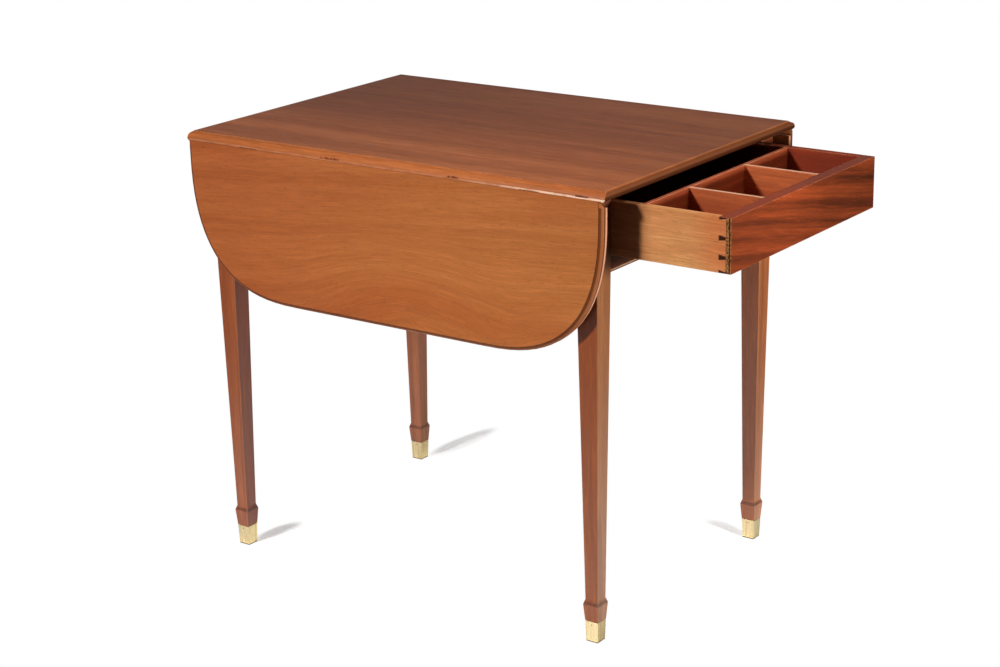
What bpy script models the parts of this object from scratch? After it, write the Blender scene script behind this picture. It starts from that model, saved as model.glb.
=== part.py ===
"""Drop-leaf game table: two rule-jointed leaves, tapered legs in brass sabots, a divided end drawer.

Metres, +Z up. +X runs along the table to the drawer end, -Y is the near side, the table stands on Z = 0.
"""
import math

import bmesh
import bpy
from mathutils import Matrix, Vector

# Fits
GAP = 0.0003                  # between pieces that touch or are let into one another
OVERRUN = 0.002               # how far a cutter runs past the face it opens
ROUND_STEPS = 16              # sides of a small round bar or bore

# Top
TABLE_HEIGHT = 0.720
TOP_LENGTH = 0.800
FLAT_WIDTH = 0.545            # between the two rule joints
BOARD_THICKNESS = 0.0155      # top and leaves
EDGE_FILLET = 0.0008          # step between a flat face and its moulded edge
END_MOULD_ALONG = 0.0055
END_MOULD_DOWN = 0.0060
END_ROUND_LOWER = 0.0060
END_ROUND_STEPS = 6

# Rule joint
RULE_FILLET = 0.002
RULE_RADIUS = 0.011
RULE_CLEARANCE = 0.0006
RULE_STEPS = 48               # sides of the full circle that both halves follow

# Leaves
LEAF_END_INSET = 0.003        # ends of a leaf behind the ends of the top
LEAF_DROP = 0.252             # lower edge below the hinge pin
LEAF_LIP_GAP = 0.0005
LEAF_CORNER_ALONG = 0.215
LEAF_CORNER_UP = 0.235
LEAF_CORNER_POWER = 2.6
LEAF_CORNER_STEPS = 22
LEAF_MOULD_WIDTH = 0.0060     # moulded edge on the show face
LEAF_MOULD_DEPTH = 0.0042
LEAF_MOULD_STEPS = 4
LEAF_ARRIS = 0.0015           # eased arris on the back
LEAF_ARRIS_STEPS = 2

# Legs
LEG_SIZE = 0.037
LEG_END_INSET = 0.0275        # legs in from the ends of the top
LEG_SIDE_INSET = 0.0115       # legs in from the hinge pins
ANKLE_SIZE = 0.0226
COLLAR_SIZE = 0.028
COLLAR_FOOT_SIZE = 0.0236
COLLAR_BEVEL_HEIGHT = 0.008
COLLAR_HEIGHT = 0.028         # from the sabot up to the widest line

# Sabots
SABOT_HEIGHT = 0.034
SABOT_TOP_SIZE = 0.0232
SABOT_FOOT_SIZE = 0.0208
SABOT_WALL = 0.0016
SABOT_FLOOR = 0.003

# Frame
APRON_HEIGHT = 0.1195
APRON_THICKNESS = 0.0165
APRON_INSET = 0.0205          # side aprons behind the faces of the legs, room for the folded stays
END_APRON_INSET = 0.002
TENON_LENGTH = 0.016
TENON_THICKNESS = 0.008
TENON_SHOULDER = 0.012
RAIL_INSET = 0.001
RAIL_HEIGHT = 0.0255
RAIL_DEPTH = 0.046
RAIL_TENON_LENGTH = 0.014
RAIL_TENON_SHOULDER = 0.004
TOP_RAIL_HEIGHT = 0.0110
TOP_RAIL_DEPTH = 0.036
TONGUE_LENGTH = 0.012
TONGUE_SHOULDER = 0.001
RUNNER_WIDTH = 0.020
RUNNER_HEIGHT = 0.016
STOP_LENGTH = 0.014
STOP_WIDTH = 0.032
STOP_HEIGHT = 0.005
STOP_Y = 0.120

# Drawer
DRAWER_OPENING = 0.200
DRAWER_LENGTH = 0.560
DRAWER_SIDE_CLEARANCE = 0.0008
DRAWER_FLOAT = 0.0005         # over the rail and runners
DRAWER_HEAD_CLEARANCE = 0.0008
DRAWER_INSET = 0.0006
FRONT_THICKNESS = 0.020
FRONT_LAP = 0.0085
SIDE_THICKNESS = 0.0115
BACK_THICKNESS = 0.011
BACK_SETBACK = 0.010
BACK_DROP = 0.003
HOUSING_DEPTH = 0.004
PIN_SHARES = (0.0, 0.375, 0.720, 1.0)   # dovetail pins down the height of the drawer
PIN_WIDE = 0.0085
PIN_NARROW = 0.0050
BOTTOM_RISE = 0.008
BOTTOM_THICKNESS = 0.006
DIVIDER_THICKNESS = 0.006
DIVIDER_DROP = 0.001
DIVIDER_HOUSING = 0.002
CROSS_DIVIDER_BACK = 0.1495   # behind the face of the drawer front
NEAR_DIVIDER_Y = -0.090
FAR_DIVIDER_Y = 0.0775

# Hinges
HINGE_END_INSET = 0.127       # middle of a hinge in from the end of its leaf
HINGE_WIDTH = 0.034
HINGE_PLATE = 0.0018
TABLE_PLATE_LENGTH = 0.034
TABLE_PLATE_START = 0.0085
LEAF_PLATE_LENGTH = 0.060
LEAF_PLATE_START = 0.0135
KNUCKLE_RADIUS = 0.0032
KNUCKLE_ROOM = 0.0010
PIN_RADIUS = 0.0014
WEB_WIDTH = 0.0020

# Stays
STAY_HINGE_SPACING = 0.120    # middle of a stay in from the middle of the hinge beside it
STAY_DROP = 0.090             # both end pivots below the hinge pin
STAY_FRAME_REACH = 0.012      # frame pivot out from the apron
STAY_LEAF_REACH = 0.0155      # leaf pivot in from the leaf
LINK_WIDTH = 0.009
LINK_THICKNESS = 0.0024
LINK_SPACE = 0.0006
EAR_THICKNESS = 0.002
EAR_RADIUS = 0.005
FOOT_THICKNESS = 0.0016
FOOT_WIDTH = 0.018
FOOT_LENGTH = 0.030
STUD_RADIUS = 0.0022
RIVET_RADIUS = 0.0032
RIVET_HEIGHT = 0.0010

# Levels and lines that the pieces share
TOP_UNDERSIDE = TABLE_HEIGHT - BOARD_THICKNESS
PIVOT_Y = FLAT_WIDTH / 2
PIVOT_Z = TABLE_HEIGHT - RULE_FILLET - RULE_RADIUS
BELOW_PIVOT = PIVOT_Z - TOP_UNDERSIDE
OUT_FROM_PIVOT = BOARD_THICKNESS - BELOW_PIVOT
COVE_RADIUS = RULE_RADIUS + RULE_CLEARANCE
FRAME_TOP = TOP_UNDERSIDE - GAP
FRAME_BOTTOM = FRAME_TOP - APRON_HEIGHT
LEAF_LENGTH = TOP_LENGTH - 2 * LEAF_END_INSET
LEG_HALF = LEG_SIZE / 2
LEG_CENTRE_X = TOP_LENGTH / 2 - LEG_END_INSET - LEG_HALF
LEG_CENTRE_Y = PIVOT_Y - LEG_SIDE_INSET - LEG_HALF
LEG_OUTER_X = LEG_CENTRE_X + LEG_HALF
LEG_OUTER_Y = LEG_CENTRE_Y + LEG_HALF
LEG_INNER_X = LEG_CENTRE_X - LEG_HALF
LEG_INNER_Y = LEG_CENTRE_Y - LEG_HALF
APRON_OUTER_Y = LEG_OUTER_Y - APRON_INSET
APRON_INNER_Y = APRON_OUTER_Y - APRON_THICKNESS
END_APRON_OUTER_X = -LEG_OUTER_X + END_APRON_INSET
END_APRON_INNER_X = END_APRON_OUTER_X + APRON_THICKNESS
RAIL_FACE_X = LEG_OUTER_X - RAIL_INSET
RAIL_TOP = FRAME_BOTTOM + RAIL_HEIGHT
TOP_RAIL_UNDERSIDE = FRAME_TOP - TOP_RAIL_HEIGHT
DRAWER_FACE_X = LEG_OUTER_X - DRAWER_INSET + DRAWER_OPENING
DRAWER_INNER_X = DRAWER_FACE_X - FRONT_THICKNESS
DRAWER_BACK_X = DRAWER_FACE_X - DRAWER_LENGTH
DRAWER_HALF = min(LEG_INNER_Y, APRON_INNER_Y) - DRAWER_SIDE_CLEARANCE
DRAWER_BOTTOM = RAIL_TOP + DRAWER_FLOAT
DRAWER_TOP = TOP_RAIL_UNDERSIDE - DRAWER_HEAD_CLEARANCE
DRAWER_INSIDE = DRAWER_HALF - SIDE_THICKNESS
PANEL_BOTTOM = DRAWER_BOTTOM + BOTTOM_RISE
PANEL_TOP = PANEL_BOTTOM + BOTTOM_THICKNESS
CROSS_DIVIDER_X = DRAWER_FACE_X - CROSS_DIVIDER_BACK
HINGE_X = LEAF_LENGTH / 2 - HINGE_END_INSET
STAY_X = HINGE_X - STAY_HINGE_SPACING
TAIL_COUNT = len(PIN_SHARES) - 1
BOX_CENTRE_X = (DRAWER_FACE_X - TOP_LENGTH / 2) / 2

ENDS = {"drawer_end": 1, "plain_end": -1}
SIDES = {"near": -1, "far": 1}


def solid(name, rings, loops):
    """Closed mesh from rings of points; loops says which rings are joined and which are capped."""
    mesh = bpy.data.meshes.new(name)
    body = bpy.data.objects.new(name, mesh)
    bpy.context.scene.collection.objects.link(body)
    shape = bmesh.new()
    corners = [[shape.verts.new(point) for point in ring] for ring in rings]
    for lower, upper in zip(corners, corners[1:]):
        for index in range(len(lower)):
            after = (index + 1) % len(lower)
            shape.faces.new((lower[index], lower[after], upper[after], upper[index]))
    for cap in loops:
        shape.faces.new(corners[cap])
    bmesh.ops.recalc_face_normals(shape, faces=shape.faces)
    shape.to_mesh(mesh)
    shape.free()
    return body


def prism(name, axis, outline, start, stop):
    """Outline swept straight along an axis; outline points are the other two coordinates in order."""
    place_at = {
        "X": lambda a, b, s: (s, a, b),
        "Y": lambda a, b, s: (a, s, b),
    }[axis]
    rings = [[place_at(a, b, level) for a, b in outline] for level in (start, stop)]
    return solid(name, rings, (0, 1))


def block(name, x_span, y_span, z_span):
    """Rectangular block between the two ends of each span, in either order."""
    x_low, x_high = sorted(x_span)
    z_low, z_high = sorted(z_span)
    outline = [(x_low, z_low), (x_high, z_low), (x_high, z_high), (x_low, z_high)]
    y_low, y_high = sorted(y_span)
    return prism(name, "Y", outline, y_low, y_high)


def circle(centre, radius, steps):
    """Points of a full circle."""
    return [
        (centre[0] + radius * math.cos(2 * math.pi * step / steps),
         centre[1] + radius * math.sin(2 * math.pi * step / steps))
        for step in range(steps)
    ]


def rod(name, centre, radius, x_span, steps=ROUND_STEPS):
    """Round bar along X."""
    return prism(name, "X", circle(centre, radius, steps), min(x_span), max(x_span))


def combine(body, others, operation):
    """Join the other bodies to this one, or cut them from it, and clear them away."""
    for other in others:
        step = body.modifiers.new(other.name, "BOOLEAN")
        step.operation = operation
        step.solver = "EXACT"
        step.object = other
    bpy.context.view_layer.update()
    graph = bpy.context.evaluated_depsgraph_get()
    shaped = bpy.data.meshes.new_from_object(body.evaluated_get(graph))
    body.modifiers.clear()
    plain = body.data
    body.data = shaped
    bpy.data.meshes.remove(plain)
    for other in others:
        spent = other.data
        bpy.data.objects.remove(other)
        bpy.data.meshes.remove(spent)
    return body


def join(body, *others):
    return combine(body, others, "UNION")


def cut(body, *others):
    return combine(body, others, "DIFFERENCE")


def finish(name, colour, roughness, metallic):
    """Plain surface for one kind of piece."""
    surface = bpy.data.materials.new(name)
    surface.use_nodes = True
    shader = surface.node_tree.nodes["Principled BSDF"]
    shader.inputs["Base Color"].default_value = (*colour, 1.0)
    shader.inputs["Roughness"].default_value = roughness
    shader.inputs["Metallic"].default_value = metallic
    return surface


def holder(name, origin, parent=None):
    """Empty that carries a group of pieces."""
    empty = bpy.data.objects.new(name, None)
    bpy.context.scene.collection.objects.link(empty)
    empty.location = origin
    empty.parent = parent
    return empty


def place(body, name, surface, carrier, pivot=(0.0, 0.0, 0.0)):
    """Name a finished body, put its origin on its pivot and hang it on its carrier."""
    body.name = name
    body.data.name = name
    body.data.materials.append(surface)
    body.data.transform(Matrix.Translation(-Vector(pivot)))
    body.location = Vector(pivot) - carrier.location if carrier.parent else Vector(pivot)
    body.parent = carrier


def out(side, distance):
    """Y of a point at a distance outward from a hinge pin."""
    return side * (PIVOT_Y + distance)


def up(height):
    """Z of a point at a height above the hinge pins."""
    return PIVOT_Z + height


def grown(span, amount):
    """Span widened at both ends."""
    return (min(span) - amount, max(span) + amount)


# Top and leaves


def top_outline():
    """Cross section of the top: flat, fillet and ovolo on each side, flat underside."""
    turn = math.asin(min(1.0, BELOW_PIVOT / RULE_RADIUS))
    steps = round(RULE_STEPS * (math.pi / 2 + turn) / (2 * math.pi))
    half = [(PIVOT_Y, TABLE_HEIGHT)]
    for step in range(steps + 1):
        angle = math.pi / 2 - (math.pi / 2 + turn) * step / steps
        half.append((PIVOT_Y + RULE_RADIUS * math.cos(angle), PIVOT_Z + RULE_RADIUS * math.sin(angle)))
    return half + [(-y, z) for y, z in reversed(half)]


def end_round(end, along, drop):
    """Cutter that rounds one arris across an end of the top; drop gives levels at the face, step and tip."""
    face, start, stop = drop
    tip = TOP_LENGTH / 2
    beyond = face + math.copysign(OVERRUN, face - stop)
    outline = [(tip + OVERRUN, stop), (tip + OVERRUN, beyond), (tip - along, beyond)]
    for step in range(END_ROUND_STEPS + 1):
        angle = math.pi / 2 * step / END_ROUND_STEPS
        outline.append((tip - along + along * math.sin(angle), stop + (start - stop) * math.cos(angle)))
    reach = PIVOT_Y + RULE_RADIUS + OVERRUN
    return prism("end round", "Y", [(end * x, z) for x, z in outline], -reach, reach)


def hinge_recess(side, x):
    """Cutters in the underside of the top for one hinge: plate, knuckle and the path of its necks."""
    width = grown((x - HINGE_WIDTH / 2, x + HINGE_WIDTH / 2), GAP)
    underside = -BELOW_PIVOT - OVERRUN
    knuckle = KNUCKLE_RADIUS + KNUCKLE_ROOM
    plate_top = -BELOW_PIVOT + HINGE_PLATE
    return (
        block("plate recess", width, (out(side, -TABLE_PLATE_LENGTH - GAP), out(side, -BELOW_PIVOT)),
              (up(underside), up(plate_top + GAP))),
        block("knuckle recess", width, (out(side, -BELOW_PIVOT - KNUCKLE_ROOM), out(side, knuckle)),
              (up(underside), up(knuckle))),
        block("neck recess", width, (out(side, 0.0), out(side, RULE_RADIUS + OVERRUN)),
              (up(underside), up(plate_top + 2 * GAP))),
    )


def make_top(surface, table):
    top = prism("top", "X", top_outline(), -TOP_LENGTH / 2, TOP_LENGTH / 2)
    step = TABLE_HEIGHT - EDGE_FILLET
    upper = (TABLE_HEIGHT, step, step - END_MOULD_DOWN)
    lower = (TOP_UNDERSIDE, TOP_UNDERSIDE, TOP_UNDERSIDE + END_ROUND_LOWER)
    cutters = []
    for end in ENDS.values():
        cutters.append(end_round(end, END_MOULD_ALONG, upper))
        cutters.append(end_round(end, END_ROUND_LOWER, lower))
        for side in SIDES.values():
            cutters.extend(hinge_recess(side, end * HINGE_X))
    place(cut(top, *cutters), "center_top", surface, table)


def leaf_outline(inset):
    """Outline of a leaf, drawn in from its ends and lower edge: straight top, two large round lower corners."""
    tip = LEAF_LENGTH / 2
    half = [(tip - inset, up(-LEAF_LIP_GAP))]
    for step in range(LEAF_CORNER_STEPS + 1):
        angle = math.pi / 2 * step / LEAF_CORNER_STEPS
        along = math.cos(angle) ** (2 / LEAF_CORNER_POWER) if step < LEAF_CORNER_STEPS else 0.0
        down = math.sin(angle) ** (2 / LEAF_CORNER_POWER)
        half.append((tip - LEAF_CORNER_ALONG + (LEAF_CORNER_ALONG - inset) * along,
                     up(-LEAF_DROP + LEAF_CORNER_UP - (LEAF_CORNER_UP - inset) * down)))
    return half + [(-x, z) for x, z in reversed(half)]


def leaf_edge():
    """Edge of a leaf from its face to its back, as pairs of inset and depth: step, ovolo, eased arris."""
    edge = [(LEAF_MOULD_WIDTH, 0.0)]
    for step in range(LEAF_MOULD_STEPS + 1):
        angle = math.pi / 2 * step / LEAF_MOULD_STEPS
        edge.append((LEAF_MOULD_WIDTH * (1 - math.sin(angle)),
                     EDGE_FILLET + LEAF_MOULD_DEPTH * (1 - math.cos(angle))))
    for step in range(LEAF_ARRIS_STEPS + 1):
        angle = math.pi / 2 * step / LEAF_ARRIS_STEPS
        edge.append((LEAF_ARRIS * (1 - math.cos(angle)),
                     BOARD_THICKNESS - LEAF_ARRIS * (1 - math.sin(angle))))
    return edge


def make_leaf(label, side, surface, carrier):
    rings = [
        [(x, out(side, OUT_FROM_PIVOT - depth), z) for x, z in leaf_outline(inset)]
        for inset, depth in leaf_edge()
    ]
    leaf = solid("leaf", rings, (0, -1))
    pin = (out(side, 0.0), PIVOT_Z)
    cutters = [rod("cove", pin, COVE_RADIUS, grown((-LEAF_LENGTH / 2, LEAF_LENGTH / 2), OVERRUN), RULE_STEPS)]
    for end in ENDS.values():
        middle = end * HINGE_X
        width = grown((middle - HINGE_WIDTH / 2, middle + HINGE_WIDTH / 2), GAP)
        depth = (out(side, -BELOW_PIVOT - OVERRUN), out(side, -BELOW_PIVOT + HINGE_PLATE + GAP))
        cutters.append(block("leaf plate recess", width, depth, (up(-LEAF_PLATE_LENGTH - GAP), PIVOT_Z)))
    place(cut(leaf, *cutters), label + "_leaf", surface, carrier, (0.0, *pin))


# Hinges


def make_hinge(label, side, end_label, end, brass, steel, table, carrier):
    """Rule-joint hinge: short plate under the top, long plate on the leaf, pin through three knuckles."""
    middle = end * HINGE_X
    pin = (out(side, 0.0), PIVOT_Z)
    third = HINGE_WIDTH / 3
    width = (middle - HINGE_WIDTH / 2, middle + HINGE_WIDTH / 2)
    inner_third = grown((middle - third / 2, middle + third / 2), -GAP)
    plate_z = (up(-BELOW_PIVOT), up(-BELOW_PIVOT + HINGE_PLATE))

    table_plate = block("table plate", width, (out(side, -TABLE_PLATE_LENGTH), out(side, -TABLE_PLATE_START)),
                        plate_z)
    tongue_start = -TABLE_PLATE_START - OVERRUN
    join(
        table_plate,
        block("tongue", inner_third, (out(side, tongue_start), out(side, -KNUCKLE_RADIUS / 2)), plate_z),
        block("web", inner_third, (out(side, -WEB_WIDTH - PIN_RADIUS), out(side, -PIN_RADIUS)),
              (plate_z[0], PIVOT_Z)),
        rod("knuckle", pin, KNUCKLE_RADIUS, inner_third),
    )
    cut(table_plate, rod("bore", pin, PIN_RADIUS + GAP, grown(width, OVERRUN)))
    hinge = label + "_hinge_"
    place(table_plate, hinge + "table_plate_" + end_label, brass, table)

    plate_y = (out(side, -BELOW_PIVOT), out(side, -BELOW_PIVOT + HINGE_PLATE))
    leaf_plate = block("leaf plate", width, plate_y, (up(-LEAF_PLATE_LENGTH), up(-LEAF_PLATE_START)))
    for outer_third in ((width[0], middle - third / 2), (middle + third / 2, width[1])):
        join(
            leaf_plate,
            block("neck", outer_third, plate_y, (up(-LEAF_PLATE_START - OVERRUN), PIVOT_Z)),
            block("web", outer_third, (plate_y[0], out(side, -PIN_RADIUS)), (up(-WEB_WIDTH), PIVOT_Z)),
            rod("knuckle", pin, KNUCKLE_RADIUS, outer_third),
        )
    cut(leaf_plate, rod("bore", pin, PIN_RADIUS + GAP, grown(width, OVERRUN)))
    place(leaf_plate, hinge + "leaf_plate_" + end_label, brass, carrier, (middle, *pin))

    place(rod("pin", pin, PIN_RADIUS, width), hinge + "pin_" + end_label, steel, table)


# Stays


def turned(point, angle):
    """Point (out, up) turned about the hinge pin as the leaf rises by the angle."""
    return (
        point[0] * math.cos(angle) - point[1] * math.sin(angle),
        point[0] * math.sin(angle) + point[1] * math.cos(angle),
    )


def link(side, foot, tip, x_span):
    """Flat bar with round ends between two points given outward and upward from the hinge pin."""
    lean = math.atan2(tip[1] - foot[1], tip[0] - foot[0])
    outline = []
    for centre, start in ((tip, lean - math.pi / 2), (foot, lean + math.pi / 2)):
        for step in range(ROUND_STEPS // 2 + 1):
            angle = start + math.pi * step / (ROUND_STEPS // 2)
            outline.append((
                out(side, centre[0] + LINK_WIDTH / 2 * math.cos(angle)),
                up(centre[1] + LINK_WIDTH / 2 * math.sin(angle)),
            ))
    return prism("link", "X", outline, min(x_span), max(x_span))


def bracket(side, base, pivot, x_foot, x_ear, x_stud):
    """Foot plate on a face at distance base from the hinge pin, an ear out to the pivot and its stud."""
    inward = 1 if pivot[0] > base else -1
    centre = (out(side, pivot[0]), up(pivot[1]))
    foot = block("foot", x_foot, (out(side, base), out(side, base + inward * FOOT_THICKNESS)),
                 (up(pivot[1] - FOOT_LENGTH / 2), up(pivot[1] + FOOT_LENGTH / 2)))
    return join(
        foot,
        block("ear", x_ear, (out(side, base + inward * FOOT_THICKNESS / 2), centre[0]),
              (centre[1] - EAR_RADIUS, centre[1] + EAR_RADIUS)),
        rod("ear end", centre, EAR_RADIUS, grown(x_ear, -GAP)),
        rod("stud", centre, STUD_RADIUS, x_stud),
    )


def make_stay(label, side, end_label, end, brass, table, carrier):
    """Folding stay: it hangs doubled up beside the apron and stands straight under the raised leaf."""
    frame_base = APRON_OUTER_Y + GAP - PIVOT_Y
    frame_pivot = (frame_base + STAY_FRAME_REACH, -STAY_DROP)
    leaf_base = -BELOW_PIVOT - GAP
    leaf_pivot = (leaf_base - STAY_LEAF_REACH, -STAY_DROP)
    raised = turned(leaf_pivot, math.pi / 2)
    length = math.dist(frame_pivot, raised) / 2
    rise = math.sqrt(length ** 2 - ((leaf_pivot[0] - frame_pivot[0]) / 2) ** 2)
    elbow = ((leaf_pivot[0] + frame_pivot[0]) / 2, rise - STAY_DROP)

    middle = end * STAY_X
    lower = (middle - LINK_SPACE / 2 - LINK_THICKNESS, middle - LINK_SPACE / 2)
    upper = (middle + LINK_SPACE / 2, middle + LINK_SPACE / 2 + LINK_THICKNESS)
    frame_ear = (lower[0] - GAP - EAR_THICKNESS, lower[0] - GAP)
    leaf_ear = (upper[1] + GAP, upper[1] + GAP + EAR_THICKNESS)
    stay = label + "_stay_"

    frame_bracket = bracket(side, frame_base, frame_pivot, (frame_ear[1] - FOOT_WIDTH, frame_ear[1]),
                            frame_ear, (frame_ear[0] + GAP, lower[1] - GAP))
    place(frame_bracket, stay + "frame_bracket_" + end_label, brass, table)
    leaf_bracket = bracket(side, leaf_base, leaf_pivot, (leaf_ear[0], leaf_ear[0] + FOOT_WIDTH),
                           leaf_ear, (upper[0] + GAP, leaf_ear[1] - GAP))
    pin = (out(side, 0.0), PIVOT_Z)
    place(leaf_bracket, stay + "leaf_bracket_" + end_label, brass, carrier, (middle, *pin))

    elbow_at = (out(side, elbow[0]), up(elbow[1]))
    for kind, pivot, span, head, holder_of in (
        ("lower_link_", frame_pivot, lower, (lower[0] - RIVET_HEIGHT, lower[1] - GAP), table),
        ("upper_link_", leaf_pivot, upper, (upper[0] + GAP, upper[1] + RIVET_HEIGHT), carrier),
    ):
        bar = link(side, pivot, elbow, span)
        pivot_at = (out(side, pivot[0]), up(pivot[1]))
        cut(bar, rod("eye", pivot_at, STUD_RADIUS + GAP, grown(span, OVERRUN)))
        join(bar, rod("rivet", elbow_at, RIVET_RADIUS, head))
        place(bar, stay + kind + end_label, brass, holder_of, (sum(span) / 2, *pivot_at))


# Legs and frame


def square(centre, half, level):
    """Four corners of a level square."""
    return [
        (centre[0] + across * half, centre[1] + deep * half, level)
        for across, deep in ((-1, -1), (1, -1), (1, 1), (-1, 1))
    ]


def side_apron_tenons(side):
    """Tenon spans of a side apron, on the middle line of its thickness."""
    middle = side * (APRON_OUTER_Y + APRON_INNER_Y) / 2
    across = (middle - TENON_THICKNESS / 2, middle + TENON_THICKNESS / 2)
    height = (FRAME_BOTTOM + TENON_SHOULDER, FRAME_TOP - TENON_SHOULDER)
    return {end: ((end * (LEG_INNER_X - OVERRUN), end * (LEG_INNER_X + TENON_LENGTH)), across, height)
            for end in ENDS.values()}


def end_apron_tenons():
    """Tenon spans of the end apron, set towards its outer face to pass the side tenons."""
    deep = (END_APRON_OUTER_X + TENON_SHOULDER / 4, END_APRON_OUTER_X + TENON_SHOULDER / 4 + TENON_THICKNESS)
    height = (FRAME_BOTTOM + TENON_SHOULDER, FRAME_TOP - TENON_SHOULDER)
    return {side: (deep, (side * (LEG_INNER_Y - OVERRUN), side * (LEG_INNER_Y + TENON_LENGTH)), height)
            for side in SIDES.values()}


def drawer_rail_tenons():
    """Tenon spans of the drawer rail, near its face."""
    deep = (RAIL_FACE_X - TENON_SHOULDER / 4 - TENON_THICKNESS, RAIL_FACE_X - TENON_SHOULDER / 4)
    height = (FRAME_BOTTOM + RAIL_TENON_SHOULDER, RAIL_TOP - RAIL_TENON_SHOULDER)
    return {side: (deep, (side * (LEG_INNER_Y - OVERRUN), side * (LEG_INNER_Y + RAIL_TENON_LENGTH)), height)
            for side in SIDES.values()}


def top_rail_tongues():
    """Tongue spans of the top rail, let into the tops of the legs."""
    deep = (RAIL_FACE_X - TENON_SHOULDER / 2 - TENON_LENGTH, RAIL_FACE_X - TENON_SHOULDER / 2)
    height = (TOP_RAIL_UNDERSIDE + TONGUE_SHOULDER, FRAME_TOP - TONGUE_SHOULDER)
    return {side: (deep, (side * (LEG_INNER_Y - OVERRUN), side * (LEG_INNER_Y + TONGUE_LENGTH)), height)
            for side in SIDES.values()}


def mortise(spans, open_top=False):
    """Cutter a gap larger than a tenon all round."""
    deep, across, height = (grown(span, GAP) for span in spans)
    if open_top:
        height = (height[0], FRAME_TOP + OVERRUN)
    return block("mortise", deep, across, height)


def make_leg(label, side, end_label, end, wood, brass, table):
    centre = (end * LEG_CENTRE_X, side * LEG_CENTRE_Y)
    inside_top = SABOT_TOP_SIZE / 2 - SABOT_WALL
    inside_foot = SABOT_FOOT_SIZE / 2 - SABOT_WALL
    collar_foot = SABOT_HEIGHT + GAP
    collar_line = SABOT_HEIGHT + COLLAR_HEIGHT
    sections = (
        (inside_foot - GAP, SABOT_FLOOR + GAP),
        (inside_top - GAP, collar_foot),
        (COLLAR_FOOT_SIZE / 2, collar_foot),
        (COLLAR_SIZE / 2, collar_line),
        (ANKLE_SIZE / 2, collar_line + COLLAR_BEVEL_HEIGHT),
        (LEG_HALF, FRAME_BOTTOM),
        (LEG_HALF, FRAME_TOP),
    )
    rings = [square(centre, half, level) for half, level in sections]
    leg = solid("leg", rings, (0, len(rings) - 1))
    cutters = [mortise(side_apron_tenons(side)[end])]
    if end == ENDS["drawer_end"]:
        cutters.append(mortise(drawer_rail_tenons()[side]))
        cutters.append(mortise(top_rail_tongues()[side], open_top=True))
    else:
        cutters.append(mortise(end_apron_tenons()[side]))
    place(cut(leg, *cutters), label + "_leg_" + end_label, wood, table)

    cup = [
        square(centre, half, level)
        for half, level in (
            (SABOT_FOOT_SIZE / 2, 0.0),
            (SABOT_TOP_SIZE / 2, SABOT_HEIGHT),
            (inside_top, SABOT_HEIGHT),
            (inside_foot, SABOT_FLOOR),
        )
    ]
    place(solid("sabot", cup, (0, len(cup) - 1)), label + "_sabot_" + end_label, brass, table)


def make_frame(wood, table):
    height = (FRAME_BOTTOM, FRAME_TOP)
    inside_ends = (-LEG_INNER_X + GAP, LEG_INNER_X - GAP)
    between_legs = (-LEG_INNER_Y + GAP, LEG_INNER_Y - GAP)
    for label, side in SIDES.items():
        apron = block("apron", inside_ends, (side * APRON_INNER_Y, side * APRON_OUTER_Y), height)
        join(apron, *(block("tenon", *spans) for spans in side_apron_tenons(side).values()))
        place(apron, label + "_side_apron", wood, table)

    apron = block("apron", (END_APRON_OUTER_X, END_APRON_INNER_X), between_legs, height)
    join(apron, *(block("tenon", *spans) for spans in end_apron_tenons().values()))
    place(apron, "end_apron", wood, table)

    inner_half = min(LEG_INNER_Y, APRON_INNER_Y) - GAP
    across = (-inner_half, inner_half)
    rail_back = RAIL_FACE_X - RAIL_DEPTH
    rail = block("rail", (rail_back, RAIL_FACE_X), across, (FRAME_BOTTOM, RAIL_TOP))
    join(rail, *(block("tenon", *spans) for spans in drawer_rail_tenons().values()))
    place(rail, "drawer_rail", wood, table)

    top_rail_back = RAIL_FACE_X - TOP_RAIL_DEPTH
    rail = block("rail", (top_rail_back, RAIL_FACE_X), across, (TOP_RAIL_UNDERSIDE, FRAME_TOP))
    join(rail, *(block("tongue", *spans) for spans in top_rail_tongues().values()))
    place(rail, "top_rail", wood, table)

    frame_back = max(END_APRON_INNER_X, -LEG_INNER_X) + GAP
    shut_inner_x = DRAWER_INNER_X - DRAWER_OPENING
    for label, side in SIDES.items():
        beside = (side * (inner_half - RUNNER_WIDTH), side * inner_half)
        runner = block("runner", (frame_back, rail_back - GAP), beside, (RAIL_TOP - RUNNER_HEIGHT, RAIL_TOP))
        place(runner, label + "_drawer_runner", wood, table)
        kicker = block("kicker", (frame_back, top_rail_back - GAP), beside, (TOP_RAIL_UNDERSIDE, FRAME_TOP))
        place(kicker, label + "_drawer_kicker", wood, table)
        stop = block("stop", (shut_inner_x - GAP - STOP_LENGTH, shut_inner_x - GAP),
                     (side * STOP_Y - STOP_WIDTH / 2, side * STOP_Y + STOP_WIDTH / 2),
                     (RAIL_TOP + GAP, RAIL_TOP + GAP + STOP_HEIGHT))
        place(stop, label + "_drawer_stop", wood, table)


# Drawer


def tail_outline(index, slack):
    """Dovetail seen from the side, narrow at the shoulder and wide at its end; slack widens a socket."""
    height = DRAWER_TOP - DRAWER_BOTTOM
    upper, lower = (DRAWER_TOP - share * height for share in PIN_SHARES[index:index + 2])
    pitch = upper - lower
    middle = (upper + lower) / 2
    root = (pitch - PIN_WIDE) / 2 + slack
    tip = (pitch - PIN_NARROW) / 2 + slack
    end = DRAWER_FACE_X - FRONT_LAP - GAP + slack
    return ((DRAWER_INNER_X, middle - root), (end, middle - tip), (end, middle + tip),
            (DRAWER_INNER_X, middle + root))


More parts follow.
